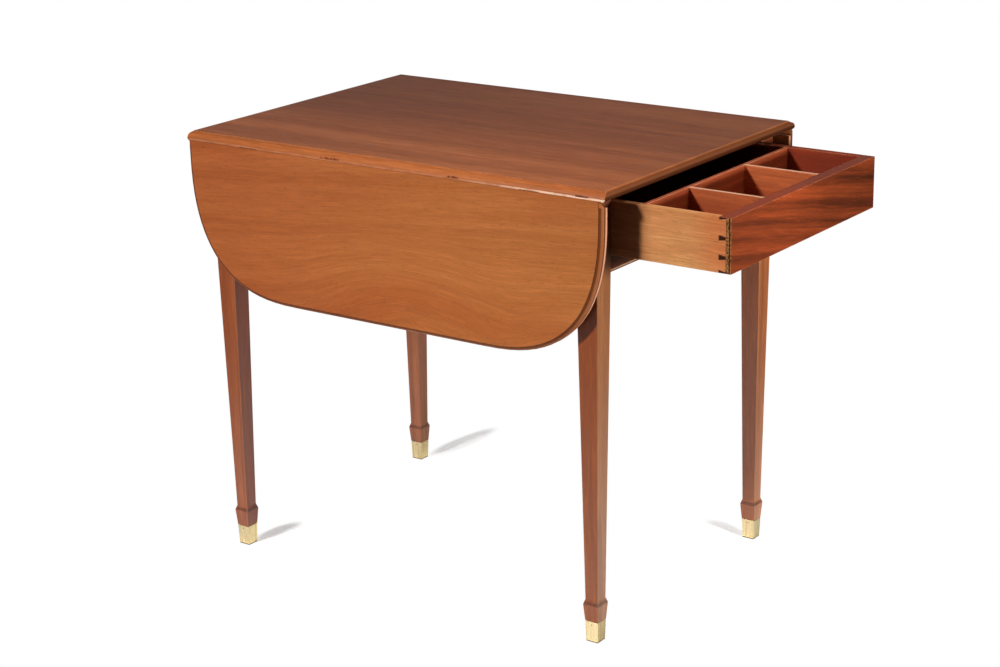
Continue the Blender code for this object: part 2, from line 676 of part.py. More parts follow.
def side_outline():
    """Drawer side with its row of dovetails."""
    shoulder = DRAWER_INNER_X - GAP
    outline = [(DRAWER_BACK_X, DRAWER_BOTTOM), (shoulder, DRAWER_BOTTOM)]
    for index in reversed(range(TAIL_COUNT)):
        lower_root, lower_tip, upper_tip, upper_root = tail_outline(index, 0.0)
        outline += [(shoulder, lower_root[1]), lower_tip, upper_tip, (shoulder, upper_root[1])]
    return outline + [(shoulder, DRAWER_TOP), (DRAWER_BACK_X, DRAWER_TOP)]


def socket(index, side):
    """Cutter in the drawer front for one dovetail."""
    root, tip, upper_tip, upper_root = tail_outline(index, GAP)
    lean = (root[1] - tip[1]) / (tip[0] - root[0])
    behind = DRAWER_INNER_X - OVERRUN
    outline = ((behind, root[1] + OVERRUN * lean), tip, upper_tip, (behind, upper_root[1] - OVERRUN * lean))
    across = sorted((side * (DRAWER_INSIDE - GAP), side * (DRAWER_HALF + OVERRUN)))
    return prism("socket", "Y", outline, *across)


def make_drawer(front_wood, side_wood, inside_wood, carrier):
    pivot = (DRAWER_FACE_X, 0.0, DRAWER_BOTTOM)
    divider_top = DRAWER_TOP - DIVIDER_DROP
    divider_height = (PANEL_TOP + GAP, divider_top)
    half_divider = DIVIDER_THICKNESS / 2
    cross_span = (CROSS_DIVIDER_X - half_divider, CROSS_DIVIDER_X + half_divider)
    housed = DRAWER_INSIDE + HOUSING_DEPTH - GAP
    back_span = (DRAWER_BACK_X + BACK_SETBACK, DRAWER_BACK_X + BACK_SETBACK + BACK_THICKNESS)
    back_height = (PANEL_TOP + GAP, DRAWER_TOP - BACK_DROP)
    panel_span = (back_span[0], DRAWER_INNER_X + HOUSING_DEPTH - GAP)
    short_span = (cross_span[1] - DIVIDER_HOUSING + GAP, DRAWER_INNER_X + DIVIDER_HOUSING - GAP)
    short_ys = {"near": NEAR_DIVIDER_Y, "far": FAR_DIVIDER_Y}

    def panel_groove():
        return block("groove", (panel_span[0] - BACK_SETBACK - OVERRUN, panel_span[1] + GAP),
                     (-housed - GAP, housed + GAP), (PANEL_BOTTOM - GAP, PANEL_TOP + GAP))

    def housing(span):
        return block("housing", grown(span, GAP), (-housed - GAP, housed + GAP),
                     (PANEL_TOP, DRAWER_TOP + OVERRUN))

    def short_housing(middle, ceiling):
        return block("short housing", grown(short_span, GAP),
                     (middle - half_divider - GAP, middle + half_divider + GAP), (PANEL_TOP, ceiling))

    front = block("front", (DRAWER_INNER_X, DRAWER_FACE_X), (-DRAWER_HALF, DRAWER_HALF),
                  (DRAWER_BOTTOM, DRAWER_TOP))
    sockets = [socket(index, side) for index in range(TAIL_COUNT) for side in SIDES.values()]
    front_housings = [short_housing(middle, divider_top + GAP) for middle in short_ys.values()]
    place(cut(front, panel_groove(), *sockets, *front_housings), "drawer_front", front_wood, carrier, pivot)

    for label, side in SIDES.items():
        across = sorted((side * DRAWER_INSIDE, side * DRAWER_HALF))
        board = prism("side", "Y", side_outline(), *across)
        cut(board, panel_groove(), housing(back_span), housing(cross_span))
        place(board, label + "_drawer_side", side_wood, carrier, pivot)

    inside = (-housed, housed)
    place(block("back", back_span, inside, back_height), "drawer_back", inside_wood, carrier, pivot)
    panel = block("panel", panel_span, inside, (PANEL_BOTTOM, PANEL_TOP))
    place(panel, "drawer_bottom", inside_wood, carrier, pivot)
    cross = block("cross", cross_span, inside, divider_height)
    cut(cross, *(short_housing(middle, DRAWER_TOP + OVERRUN) for middle in short_ys.values()))
    place(cross, "drawer_cross_divider", inside_wood, carrier, pivot)
    for label, middle in short_ys.items():
        short = block("short", short_span, (middle - half_divider, middle + half_divider), divider_height)
        place(short, label + "_drawer_divider", inside_wood, carrier, pivot)


def main():
    for old in list(bpy.data.objects):
        bpy.data.objects.remove(old)

    table = holder("table", (-BOX_CENTRE_X, 0.0, 0.0))
    drawer = holder("drawer", (DRAWER_FACE_X, 0.0, DRAWER_BOTTOM), table)
    leaf_lines = {label: holder(label + "_leaf_pivot", (0.0, out(side, 0.0), PIVOT_Z), table)
                  for label, side in SIDES.items()}

    top_wood = finish("top_mahogany", (0.235, 0.078, 0.032), 0.34, 0.0)
    leaf_wood = finish("leaf_mahogany", (0.402, 0.138, 0.042), 0.34, 0.0)
    leg_wood = finish("leg_mahogany", (0.245, 0.080, 0.030), 0.38, 0.0)
    frame_wood = finish("frame_wood", (0.290, 0.130, 0.055), 0.55, 0.0)
    front_wood = finish("drawer_front_mahogany", (0.250, 0.058, 0.026), 0.36, 0.0)
    side_wood = finish("drawer_side_wood", (0.500, 0.250, 0.095), 0.50, 0.0)
    inside_wood = finish("drawer_inside_wood", (0.400, 0.110, 0.038), 0.50, 0.0)
    brass = finish("brass", (0.720, 0.540, 0.270), 0.30, 1.0)
    steel = finish("pin_steel", (0.450, 0.440, 0.420), 0.35, 1.0)

    make_top(top_wood, table)
    make_frame(frame_wood, table)
    make_drawer(front_wood, side_wood, inside_wood, drawer)
    for label, side in SIDES.items():
        make_leaf(label, side, leaf_wood, leaf_lines[label])
        for end_label, end in ENDS.items():
            make_leg(label, side, end_label, end, leg_wood, brass, table)
            make_hinge(label, side, end_label, end, brass, steel, table, leaf_lines[label])
            make_stay(label, side, end_label, end, brass, table, leaf_lines[label])


main()
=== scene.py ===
"""Looks of a drop-leaf game table: woods, metals, small fixings, floor, light and camera."""

import math

import bmesh
import bpy
from mathutils import Matrix, Vector


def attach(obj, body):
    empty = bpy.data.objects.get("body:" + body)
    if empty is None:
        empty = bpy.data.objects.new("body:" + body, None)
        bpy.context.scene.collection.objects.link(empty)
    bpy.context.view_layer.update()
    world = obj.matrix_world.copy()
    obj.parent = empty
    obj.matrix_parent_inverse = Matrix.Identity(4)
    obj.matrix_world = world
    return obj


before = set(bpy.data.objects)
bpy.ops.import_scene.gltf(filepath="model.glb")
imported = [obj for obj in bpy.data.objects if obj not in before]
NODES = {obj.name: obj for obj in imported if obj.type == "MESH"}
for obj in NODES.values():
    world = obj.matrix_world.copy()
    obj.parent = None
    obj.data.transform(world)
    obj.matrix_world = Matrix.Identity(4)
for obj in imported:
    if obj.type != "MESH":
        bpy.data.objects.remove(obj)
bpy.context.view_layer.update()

# Camera: place in metres, angles in degrees, lens and sensor in millimetres
CAMERA_PLACE = (1.96579, -2.84156, 1.47729)
CAMERA_AZIMUTH = 35.6945
CAMERA_ELEVATION = 17.5578
CAMERA_ROLL = -1.1366
CAMERA_REACH = 100.0
LENS_MM = 79.77
SENSOR_MM = 36.0

# Lamps: place, target, size in metres, power in watts, and the height of one that isn't round
KEY_LAMP = ((-0.72, -2.49, 2.10), (-0.05, -0.10, 0.50), 0.36, 78.0)
FILL_LAMP = ((1.40, -0.11, 0.72), (0.28, 0.00, 0.40), 0.14, 15.5)
OVERHEAD_LAMP = ((0.80, 0.10, 2.00), (0.10, 0.00, 0.70), 0.55, 10.0)
BACK_LAMP = ((-1.30, 2.30, 0.40), (-0.05, 0.15, 0.40), 2.00, 38.0, 0.56)

# Surround: its plain light, and what gloss sees overhead, where a direction rises
AMBIENT = 0.04
CEILING = 0.05
CEILING_RISE = (0.02, 0.22)

# Shadows of the feet that the floor keeps: place, half length, half width, heading in degrees
FOOT_SHADES = (
    (-0.4248, -0.1847, 0.066, 0.026, 88.5),
    (-0.4208, 0.3519, 0.110, 0.026, 85.8),
    (0.2196, 0.2471, 0.060, 0.022, 159.3),
)
SHADE_EDGE = (0.55, 1.0)
SHADE_GLOW = 0.34

# Floor: size, middle of its pale part, and how that fades for bounced light and in gloss
FLOOR_HALF = 14.0
PAPER_CENTRE = (-0.18, 0.10, 0.0)
FLOOR_NEAR = 0.85
FLOOR_FAR = 0.15
FLOOR_FADE = (0.45, 0.95)
MIRROR_PAPER = 1.1
MIRROR_FADE = (0.50, 1.90)

# Order in which the grain, and the two ways across it, are read from x, y and z
GRAIN_ORDER = {"X": (0, 1, 2), "Y": (1, 0, 2), "Z": (2, 0, 1)}

# Figure of the woods: noise scales per metre along and across the grain, ranges that show, shares
WANDER = 0.012
WANDER_SCALE = (2.2, 7.0, 7.0)
RING_DRIFT = 0.7
FLUSH_SCALE = (1.6, 9.0, 9.0)
FLUSH_RANGE = (0.42, 0.72)
FLUSH_SHARE = 0.65
RIBBON_SCALE = (1.3, 75.0, 75.0)
RIBBON_RANGE = (0.52, 0.68)
DASH_SCALE = (20.0, 300.0, 300.0)
DASH_DARK_RANGE = (0.34, 0.66)
DASH_LIGHT_RANGE = (0.50, 0.80)
FIBRE_SCALE = (14.0, 820.0, 820.0)
FIBRE_RANGE = (0.30, 0.70)
FIBRE_SHARE = 0.22
PORE_SCALE = (95.0, 1500.0, 1500.0)
PORE_RANGE = (0.60, 0.72)
PORE_SHARE = 0.35
END_GRAIN_TURN = (0.72, 0.95)

# Tones of the figure, as shares of a wood's dark or light colour
DASH_DARK = 0.80
DASH_LIGHT = 1.12
FIBRE_DARK = 0.66
PORE_DARK = 0.45
END_GRAIN_DARK = 0.42

# Rubbed arrises of the woods, and how gloss and relief follow the fibres
BEVEL_SAMPLES = 6
RUB_RADIUS = 0.0022
RUB_TURN = (0.02, 0.20)
RUB_SCALE = (38.0, 38.0, 38.0)
RUB_RANGE = (0.30, 0.62)
RUB_LEAST = 0.35
GLOSS_RANGE = (0.25, 0.75)
GLOSS_PLAY = 0.06
FIBRE_RELIEF = 0.5
WOOD_RELIEF = 0.0003
WOOD_RELIEF_SHARE = 0.25

# Colours that more than one wood has
APRON_DARK = (112, 56, 30)
APRON_LIGHT = (164, 92, 52)
APRON_STRIPE = (86, 42, 24)
RUNNER_DARK = (150, 98, 56)
RUNNER_LIGHT = (196, 142, 90)
DRAWER_RUBBED = (240, 196, 166)

# Painted light and shade on the legs' faces towards the near side and towards the drawer
LEG_FACE_LIGHT = (
    ("near_leg_plain_end", (0.98, 0.92, 0.92), (0.52, 0.42, 0.40)),
    ("far_leg_plain_end", (0.86, 0.88, 0.98), (0.76, 0.84, 0.88)),
    ("near_leg_drawer_end", (0.84, 0.66, 0.18), (0.74, 0.98, 0.96)),
    ("far_leg_drawer_end", (0.80, 0.78, 0.74), (1.18, 1.52, 1.85)),
)
LEG_TURN = (0.5, 0.9)

# Painted light up a leg, lighter and greyer low down, and painted shade up under the top and on the collar's
# shoulder
LEG_RISE = (0.10, 0.43)
LEG_LOW_SHEEN = (1.05, 1.08, 1.12, 1.0)
LEG_HIGH_SHADE = (0.94, 0.88, 0.79, 1.0)
UNDER_TOP_SHADE_RISE = (0.590, 0.625)
UNDER_TOP_SHADE_TONE = (0.62, 0.46, 0.40, 1.0)
SHOULDER = (0.0618, 0.0668)
SHOULDER_SOFT = 0.0006
SHOULDER_SHADE = (0.50, 0.44, 0.42, 1.0)

# Drawer sides: redder inside, with a painted shadow where they leave the frame, warmer by the front
INWARD_TURN = 0.5
LINING_TONE = (156, 86, 66)
SIDE_SHADE = (0.36, 0.325)
SIDE_SHADE_SHARE = 0.70
SIDE_SHADE_TONE = (112, 98, 104)
SIDE_WARM = (0.41, 0.47)
SIDE_WARM_TONE = (255, 224, 214)

# Painted light on the upper edges of the drawer's boards
UPWARD_TURN = (0.6, 0.95)
UPPER_SHARE = 0.75
FRONT_UPPER_TONE = (150, 70, 48)
DIVIDER_UPPER_TONE = (238, 186, 150)

# Drawer front: painted shade that darkens it towards the far side; pins and lap of its ends, in metres along
# the drawer
FRONT_SHADE = (-0.08, 0.10)
FRONT_SHADE_TONE = (226, 228, 230)
FRONT_END_TURN = (0.75, 0.95)
PIN_FACE = 0.4773
PIN_SOFT = 0.0006
PIN_TONE = (62, 32, 17)
LAP_LINE = (0.4820, 0.4840)
LAP_LINE_SOFT = 0.0005
LAP_SCALE = (420.0, 420.0, 260.0)
LAP_RANGE = (0.38, 0.60)
LAP_DARK = (92, 52, 28)
LAP_LIGHT = (186, 126, 76)

# Top: slow painted shade towards the far side and the plain end, and a darker band along its middle
TOP_FAR_SHADE = (-0.28, 0.15)
TOP_FAR_TONE = (214, 210, 208)
TOP_PLAIN_END_SHADE = (0.05, -0.45)
TOP_PLAIN_END_TONE = (240, 238, 238)
TOP_MIDDLE = (-0.11, 0.12)
TOP_MIDDLE_SOFT = 0.07
TOP_MIDDLE_TONE = (240, 236, 236)

# Ends of the top: tone of the moulding, and the painted shade below it
TOP_END_TURN = (0.35, 0.60)
TOP_END_SHARE = 0.85
TOP_END_TONE = (96, 53, 27)
TOP_UNDER = 0.7122
TOP_UNDER_SOFT = 0.0008
TOP_UNDER_SHARE = 0.8
TOP_UNDER_SHADE = (58, 28, 14)

# Painted highlight on the lip of the rule joint: its levels, how far out it begins, how bright along the top
# and where it is broken up
LIP_LEVELS = (0.7056, 0.7092)
LIP_SOFT = 0.0004
LIP_OUT = (0.2815, 0.2825)
LIP_ALONG = (0.04, 0.26, 0.10, 0.97)
LIP_SCALE = (55.0, 20.0, 20.0)
LIP_HIGHLIGHT_BREAKS = (0.30, 0.55, 0.45, 1.0)
LIP_HIGHLIGHT_TONE = (255, 220, 190)

# Dents in the near lip: where each begins and ends along the top, how high up, and their ragged outline
DENTS = ((-0.209, -0.171), (0.037, 0.057), (0.259, 0.287))
DENT_ALONG_SOFT = 0.002
DENT_LEVELS = (0.7082, 0.7112)
DENT_SOFT = 0.0005
DENT_OUT = (-0.270, -0.275)
DENT_SCALE = (210.0, 210.0, 210.0)
DENT_RANGE = (0.40, 0.52)
DENT_TONE = (116, 51, 20)

# Painted highlight along the foot of the drawer rail
RAIL_LINE = (0.5866, 0.5886)
RAIL_LINE_SOFT = 0.0004
RAIL_LINE_TURN = (0.5, 0.8)
RAIL_HIGHLIGHT_TONE = (214, 164, 124)

# Leaves: slow painted shade towards the plain end, darker high up, and painted shade on their inner faces
LEAF_END_SHADE = (0.20, -0.50)
LEAF_END_TONE = (226, 208, 214)
LEAF_UPPER_SHADE = (0.50, 0.67)
LEAF_UPPER_TONE = (238, 234, 236)
LEAF_INNER = 0.2704
LEAF_INNER_SOFT = 0.0002
LEAF_INNER_SHADE = (132, 116, 110)

# Edge of the leaves, below the joint and by distance from the table's long middle line: a darker moulding,
# painted shade in its quirk, groove and arris lines, and painted light on the square edge
LEAF_JOINT = (0.698, 0.696)
LEAF_SQUARE = 0.2752
LEAF_SQUARE_SOFT = 0.0006
LEAF_SQUARE_TURN = (0.60, 0.30)
LEAF_FACE = 0.2851
LEAF_MOULD_SOFT = 0.0004
LEAF_MOULD_TURN = (0.10, 0.45, 0.20, 0.60)
LEAF_MOULD_TONE = (132, 73, 38)
LEAF_QUIRK = (0.2838, 0.2850)
LEAF_QUIRK_SOFT = 0.0003
LEAF_QUIRK_SHARE = 0.8
LEAF_GROOVE = (0.2762, 0.2786)
LEAF_GROOVE_SOFT = 0.0005
LEAF_GROOVE_SHARE = 0.9
LEAF_GROOVE_SHADE = (56, 27, 14)
LEAF_LINE_RADIUS = 0.0016
LEAF_LINE_TURN = (0.02, 0.16)
LEAF_LINE_SHARE = 0.75
LEAF_LINE_SHADE = (92, 46, 23)
LEAF_SQUARE_LIGHT_SHARE = 0.42
LEAF_SQUARE_LIGHT_TONE = (236, 186, 158)

# Brass: patches, fine lines, bright arrises, painted shade on the side towards the drawer, gloss and relief
BRASS_MOTTLE = (90.0, 90.0, 90.0)
BRASS_PATCH = (0.40, 0.72, 0.0, 0.75)
BRASS_LINES = (1600.0, 1600.0, 70.0)
LINE_RANGE = (0.3, 0.7)
BRASS_RUB_RADIUS = 0.0015
BRASS_RUB_TURN = (0.02, 0.22)
BRASS_RUB_SHARE = 0.6
BRASS_SIDE_TURN = (0.7, 0.95)
BRASS_SIDE_BLUE = 0.92
BRASS_GLOSS_RANGE = (0.35, 0.75)
BRASS_SHARPER = 0.06
BRASS_DULLER = 0.12
BRASS_LINE_PLAY = 0.04
BRASS_RELIEF = 0.0002
BRASS_RELIEF_SHARE = 0.18

# Sabots: material, end, and painted shade on the faces towards the drawer; colours, streaks and a painted
# contact shadow along the foot
SABOT_LOOKS = (("sabot_brass", "plain_end", 1.0), ("shaded_drawer_end_sabot_brass", "drawer_end", 0.66))
SABOT_BRIGHT = (238, 219, 172)
SABOT_DULL = (206, 180, 124)
SABOT_GLOSS = 0.28
SABOT_STREAKS = (260.0, 260.0, 9.0)
SABOT_FOOT = 0.0022
FOOT_LINE_FADE = 0.6
SABOT_CONTACT_SHADE = (92, 72, 44)

# Brass of the hinges and stays and of the sabots' pins, and steel of the hinge pins
FITTING_BRIGHT = (222, 190, 122)
FITTING_DULL = (168, 134, 78)
FITTING_GLOSS = 0.38
SABOT_PIN_BRIGHT = (190, 150, 92)
SABOT_PIN_DULL = (140, 104, 60)
SABOT_PIN_GLOSS = 0.40
STEEL_LINES = (60.0, 1800.0, 1800.0)
STEEL_DARK = (122, 118, 112)
STEEL_LIGHT = (184, 181, 175)
STEEL_GLOSS = (0.30, 0.45)

# Softened arrises in metres, and the least angle in degrees of an edge that is softened
CREASE = 38.0
LEG_CREASE = 12.0
FRAME_ARRIS = 0.0008
TOP_ARRIS = 0.0006
RUNNER_ARRIS = 0.0006
STOP_ARRIS = 0.0005
FRONT_ARRIS = 0.0007
DRAWER_ARRIS = 0.0005
SABOT_ARRIS = 0.0006
FITTING_ARRIS = 0.0003
ROD_ARRIS = 0.0001
ARRIS_STEPS = 2
FLAT_FACE_WEIGHT = 80
JOIN_REACH = 2e-6

# Places of the hinges, stays and legs, from the middle of the table's length
SIDES = (("near", -1), ("far", 1))
ENDS = (("drawer_end", 1), ("plain_end", -1))
TABLE_CENTRE = -0.08595
HINGE_REACH = 0.270
STAY_REACH = 0.150
LEG_REACH = 0.354
LEG_ASIDE = 0.2425

# Screws on the hinge plates: shift from the hinge's middle, face and levels
PLATE_SCREW_SHIFT = 0.0095
TABLE_SCREW_ASIDE = 0.2513
TABLE_SCREW_LEVEL = 0.7045
LEAF_SCREW_FACE = 0.2700
LEAF_SCREWS = ((-PLATE_SCREW_SHIFT, 0.684), (PLATE_SCREW_SHIFT, 0.684), (0.0, 0.655))

# Screws on the feet of the stays: shift from the stay's middle, faces and levels
FOOT_SCREW_SHIFT = 0.013
FRAME_FOOT_FACE = 0.2424
LEAF_FOOT_FACE = 0.2681
FOOT_SCREW_LEVELS = (0.6075, 0.6265)

# Shapes of the heads, in metres and degrees: rings are shares of the radius, and heights
SCREW_RADIUS = 0.0028
SLOT_HALF = 0.00035
SLOT_FLOOR = 0.0001
HEAD_SUNK = 0.0004
HEAD_STEPS = 10
HEAD_CREASE = 35.0
SCREW_RINGS = ((1.0, 0.0003), (0.86, 0.0006), (0.50, 0.0008))
PIN_RINGS = ((1.0, 0.0001), (0.82, 0.0004), (0.45, 0.0006))
SLOT_TURNS = (20.0, 76.0, 141.0, 108.0, 52.0)
SABOT_PIN_OUT = 0.01142
SABOT_PIN_UP = 0.029
SABOT_PIN_RADIUS = 0.0012
SABOT_LEAN = 0.035


# Colours and shader steps
def linear(red, green, blue):
    """Linear colour with alpha, from display values of 0 to 255."""
    parts = []
    for part in (red, green, blue):
        share = part / 255.0
        parts.append(share / 12.92 if share <= 0.04045 else ((share + 0.055) / 1.055) ** 2.4)
    return (*parts, 1.0)


def scaled(colour, factor):
    """Linear colour, from display values that are all changed by one factor."""
    return linear(*(factor * part for part in colour))


def join(tree, socket, value):
    """Links a socket to an output, or sets its own value."""
    if isinstance(value, bpy.types.NodeSocket):
        tree.links.new(value, socket)
    else:
        socket.default_value = value


def put(tree, kind, sockets=(), **settings):
    """New node with its settings and its inputs, by name or number."""
    made = tree.nodes.new(kind)
    for name, value in settings.items():
        setattr(made, name, value)
    for key, value in dict(sockets).items():
        join(tree, made.inputs[key], value)
    return made


def sums(tree, operation, first, second=0.0, third=None):
    """Result of one arithmetic step."""
    sockets = {0: first, 1: second}
    if third is not None:
        sockets[2] = third
    return put(tree, "ShaderNodeMath", sockets, operation=operation).outputs[0]


def times(tree, first, second):
    """Product of two values."""
    return sums(tree, "MULTIPLY", first, second)


def magnitude(tree, value):
    """Value without its sign."""
    return sums(tree, "ABSOLUTE", value)


def vectors(tree, operation, first, second=(0.0, 0.0, 0.0)):
    """Result of one step between vectors."""
    return put(tree, "ShaderNodeVectorMath", {0: first, 1: second}, operation=operation).outputs[0]


def length(tree, vector):
    """Length of a vector."""
    return put(tree, "ShaderNodeVectorMath", {0: vector}, operation="LENGTH").outputs["Value"]


def split(tree, vector):
    """The three parts of a vector."""
    return put(tree, "ShaderNodeSeparateXYZ", {0: vector}).outputs


def noise(tree, place, scales, detail=2.0, rough=0.5):
    """Smooth noise from 0 to 1, with a scale for each part of the place."""
    stretched = vectors(tree, "MULTIPLY", place, scales)
    sockets = {"Vector": stretched, "Scale": 1.0, "Detail": detail, "Roughness": rough}
    return put(tree, "ShaderNodeTexNoise", sockets).outputs[0]


def spread(tree, value, low, high, to_low=0.0, to_high=1.0):
    """Value carried from one range to another, and held inside it."""
    sockets = {0: value, 1: low, 2: high, 3: to_low, 4: to_high}
    return put(tree, "ShaderNodeMapRange", sockets, interpolation_type="SMOOTHSTEP").outputs[0]


def band(tree, value, low, high, soft):
    """Mask that is one between two values, with soft limits."""
    above = spread(tree, value, low - soft, low + soft)
    below = spread(tree, value, high + soft, high - soft)
    return times(tree, above, below)


def mixed(tree, share, first, second, blend="MIX"):
    """Two colours mixed by a share."""
    made = tree.nodes.new("ShaderNodeMix")
    made.data_type = "RGBA"
    made.blend_type = blend
    for number, value in ((0, share), (6, first), (7, second)):
        join(tree, made.inputs[number], value)
    return made.outputs[2]


def shell(name):
    """Empty material with its tree, shader and coordinates."""
    made = bpy.data.materials.new(name)
    made.use_nodes = True
    tree = made.node_tree
    tree.nodes.clear()
    shader = tree.nodes.new("ShaderNodeBsdfPrincipled")
    put(tree, "ShaderNodeOutputMaterial", {0: shader.outputs[0]})
    coords = tree.nodes.new("ShaderNodeTexCoord")
    return made, tree, shader, coords


def arris(tree, radius, low, high):
    """Mask of the arrises, from how far a rounded normal leaves the true one."""
    rounded = put(tree, "ShaderNodeBevel", {0: radius}, samples=BEVEL_SAMPLES).outputs[0]
    plain = put(tree, "ShaderNodeNewGeometry").outputs["True Normal"]
    dot = put(tree, "ShaderNodeVectorMath", {0: rounded, 1: plain}, operation="DOT_PRODUCT").outputs["Value"]
    return spread(tree, sums(tree, "SUBTRACT", 1.0, dot), low, high)


# Woods
def grain_space(tree, parts, order, slope, swirls):
    """Place along the grain and across it, bent by a slope, by swirls and by a slow wander."""
    along = parts[order[0]]
    first = sums(tree, "MULTIPLY_ADD", along, slope[0], parts[order[1]])
    second = sums(tree, "MULTIPLY_ADD", along, slope[1], parts[order[2]])
    for far, high, reach, rise, lift in swirls:
        aside = put(tree, "ShaderNodeCombineXYZ", {
            0: times(tree, sums(tree, "SUBTRACT", along, far), 1.0 / reach),
            1: times(tree, sums(tree, "SUBTRACT", parts[order[2]], high), 1.0 / rise)}).outputs[0]
        second = sums(tree, "SUBTRACT", second, spread(tree, length(tree, aside), 0.0, 1.0, lift, 0.0))
    straight = put(tree, "ShaderNodeCombineXYZ", {0: along, 1: first, 2: second}).outputs[0]
    slow = vectors(tree, "MULTIPLY", straight, WANDER_SCALE)
    drift = put(tree, "ShaderNodeTexNoise", {"Vector": slow, "Scale": 1.0, "Detail": 2.0}).outputs[1]
    drift = vectors(tree, "SUBTRACT", drift, (0.5, 0.5, 0.5))
    drift = vectors(tree, "MULTIPLY", drift, (0.0, 2.0 * WANDER, 2.0 * WANDER))
    return vectors(tree, "ADD", straight, drift)


def growth_rings(tree, bent, heart, rings):
    """Noise that runs in rings about a heart line along the grain."""
    sides = split(tree, bent)
    away = sums(tree, "SUBTRACT", sides[1], heart[0])
    below = sums(tree, "SUBTRACT", sides[2], heart[1])
    span = sums(tree, "SQRT", sums(tree, "MULTIPLY_ADD", away, away, times(tree, below, below)))
    rung = put(tree, "ShaderNodeCombineXYZ", {0: span, 1: sides[0]}).outputs[0]
    return noise(tree, rung, (rings, RING_DRIFT, 1.0), detail=3.0, rough=0.55)


def wood(name, grain, dark, light, heart=(0.35, -0.25), slope=(0.0, 0.0), swirls=(), rings=26.0,
         ring_range=(0.32, 0.68), stripe=None, streak=0.30, red=None, fleck=0.25, worn=None,
         worn_share=0.5, end_dark=0.45, gloss=0.40, specular=0.25, extra=None):
    """Solid wood: growth rings along the grain, with stripes, fibres, pores and worn arrises."""
    made, tree, shader, coords = shell(name)
    place = coords.outputs["Object"]
    parts = split(tree, place)
    order = GRAIN_ORDER[grain]
    bent = grain_space(tree, parts, order, slope, swirls)
    ring = growth_rings(tree, bent, heart, rings)
    tone = mixed(tree, spread(tree, ring, *ring_range), linear(*dark), linear(*light))

    if red is not None:
        flush = noise(tree, bent, FLUSH_SCALE)
        tone = mixed(tree, spread(tree, flush, *FLUSH_RANGE, 0.0, FLUSH_SHARE), tone, linear(*red))
    if stripe is not None:
        ribbon = noise(tree, bent, RIBBON_SCALE, detail=2.5, rough=0.6)
        tone = mixed(tree, spread(tree, ribbon, *RIBBON_RANGE, 0.0, streak), tone, linear(*stripe))

    dash = noise(tree, bent, DASH_SCALE, rough=0.6)
    fibre = noise(tree, bent, FIBRE_SCALE, rough=0.6)
    pore = spread(tree, noise(tree, bent, PORE_SCALE, detail=1.0), *PORE_RANGE)
    tone = mixed(tree, spread(tree, dash, *DASH_DARK_RANGE, fleck, 0.0), tone, scaled(dark, DASH_DARK))
    tone = mixed(tree, spread(tree, dash, *DASH_LIGHT_RANGE, 0.0, fleck), tone, scaled(light, DASH_LIGHT))
    tone = mixed(tree, spread(tree, fibre, *FIBRE_RANGE, FIBRE_SHARE, 0.0), tone, scaled(dark, FIBRE_DARK))
    tone = mixed(tree, times(tree, pore, PORE_SHARE), tone, scaled(dark, PORE_DARK))

    cut = split(tree, coords.outputs["Normal"])[order[0]]
    across = spread(tree, magnitude(tree, cut), *END_GRAIN_TURN, 0.0, end_dark)
    tone = mixed(tree, across, tone, scaled(dark, END_GRAIN_DARK))

    if extra is not None:
        tone = extra(tree, coords, parts, tone)
    if worn is not None:
        rub = spread(tree, noise(tree, place, RUB_SCALE), *RUB_RANGE, RUB_LEAST, worn_share)
        tone = mixed(tree, times(tree, arris(tree, RUB_RADIUS, *RUB_TURN), rub), tone, linear(*worn))

    join(tree, shader.inputs["Base Color"], tone)
    rough = spread(tree, fibre, *GLOSS_RANGE, gloss + GLOSS_PLAY, gloss - GLOSS_PLAY)
    join(tree, shader.inputs["Roughness"], rough)
    shader.inputs["Specular IOR Level"].default_value = specular
    height = sums(tree, "SUBTRACT", times(tree, fibre, FIBRE_RELIEF), pore)
    relief = {"Strength": WOOD_RELIEF_SHARE, "Distance": WOOD_RELIEF, "Height": height}
    join(tree, shader.inputs["Normal"], put(tree, "ShaderNodeBump", relief).outputs[0])
    return made


def shaded_along(tree, value, limits, tone, shade):
    """Tone that takes on a shade slowly from one limit of a value to the other."""
    return mixed(tree, spread(tree, value, *limits), tone, linear(*shade), "MULTIPLY")


def face_light_and_shade(front, side):
    """Legs with painted light and shade on their front and side faces, lighter low down and darker high up,
    and painted shade under the top and on the collar's shoulder.
    """
    def apply(tree, coords, parts, tone):
        turns = split(tree, coords.outputs["Normal"])
        # Painted light and shade on the faces towards the near side and towards the drawer
        nearwards = spread(tree, turns[1], -LEG_TURN[0], -LEG_TURN[1])
        tone = mixed(tree, nearwards, tone, (*front, 1.0), "MULTIPLY")
        drawerwards = spread(tree, turns[0], *LEG_TURN)
        tone = mixed(tree, drawerwards, tone, (*side, 1.0), "MULTIPLY")
        # Painted shade on the faces towards the drawer, up under the top
        painted_shade = times(tree, drawerwards, spread(tree, parts[2], *UNDER_TOP_SHADE_RISE))
        tone = mixed(tree, painted_shade, tone, UNDER_TOP_SHADE_TONE, "MULTIPLY")
        # Painted light low down and painted shade high up
        rise = mixed(tree, spread(tree, parts[2], *LEG_RISE), LEG_LOW_SHEEN, LEG_HIGH_SHADE)
        tone = mixed(tree, 1.0, tone, rise, "MULTIPLY")
        # Painted shade on the collar's shoulder
        shoulder = band(tree, parts[2], *SHOULDER, SHOULDER_SOFT)
        return mixed(tree, shoulder, tone, SHOULDER_SHADE, "MULTIPLY")
    return apply


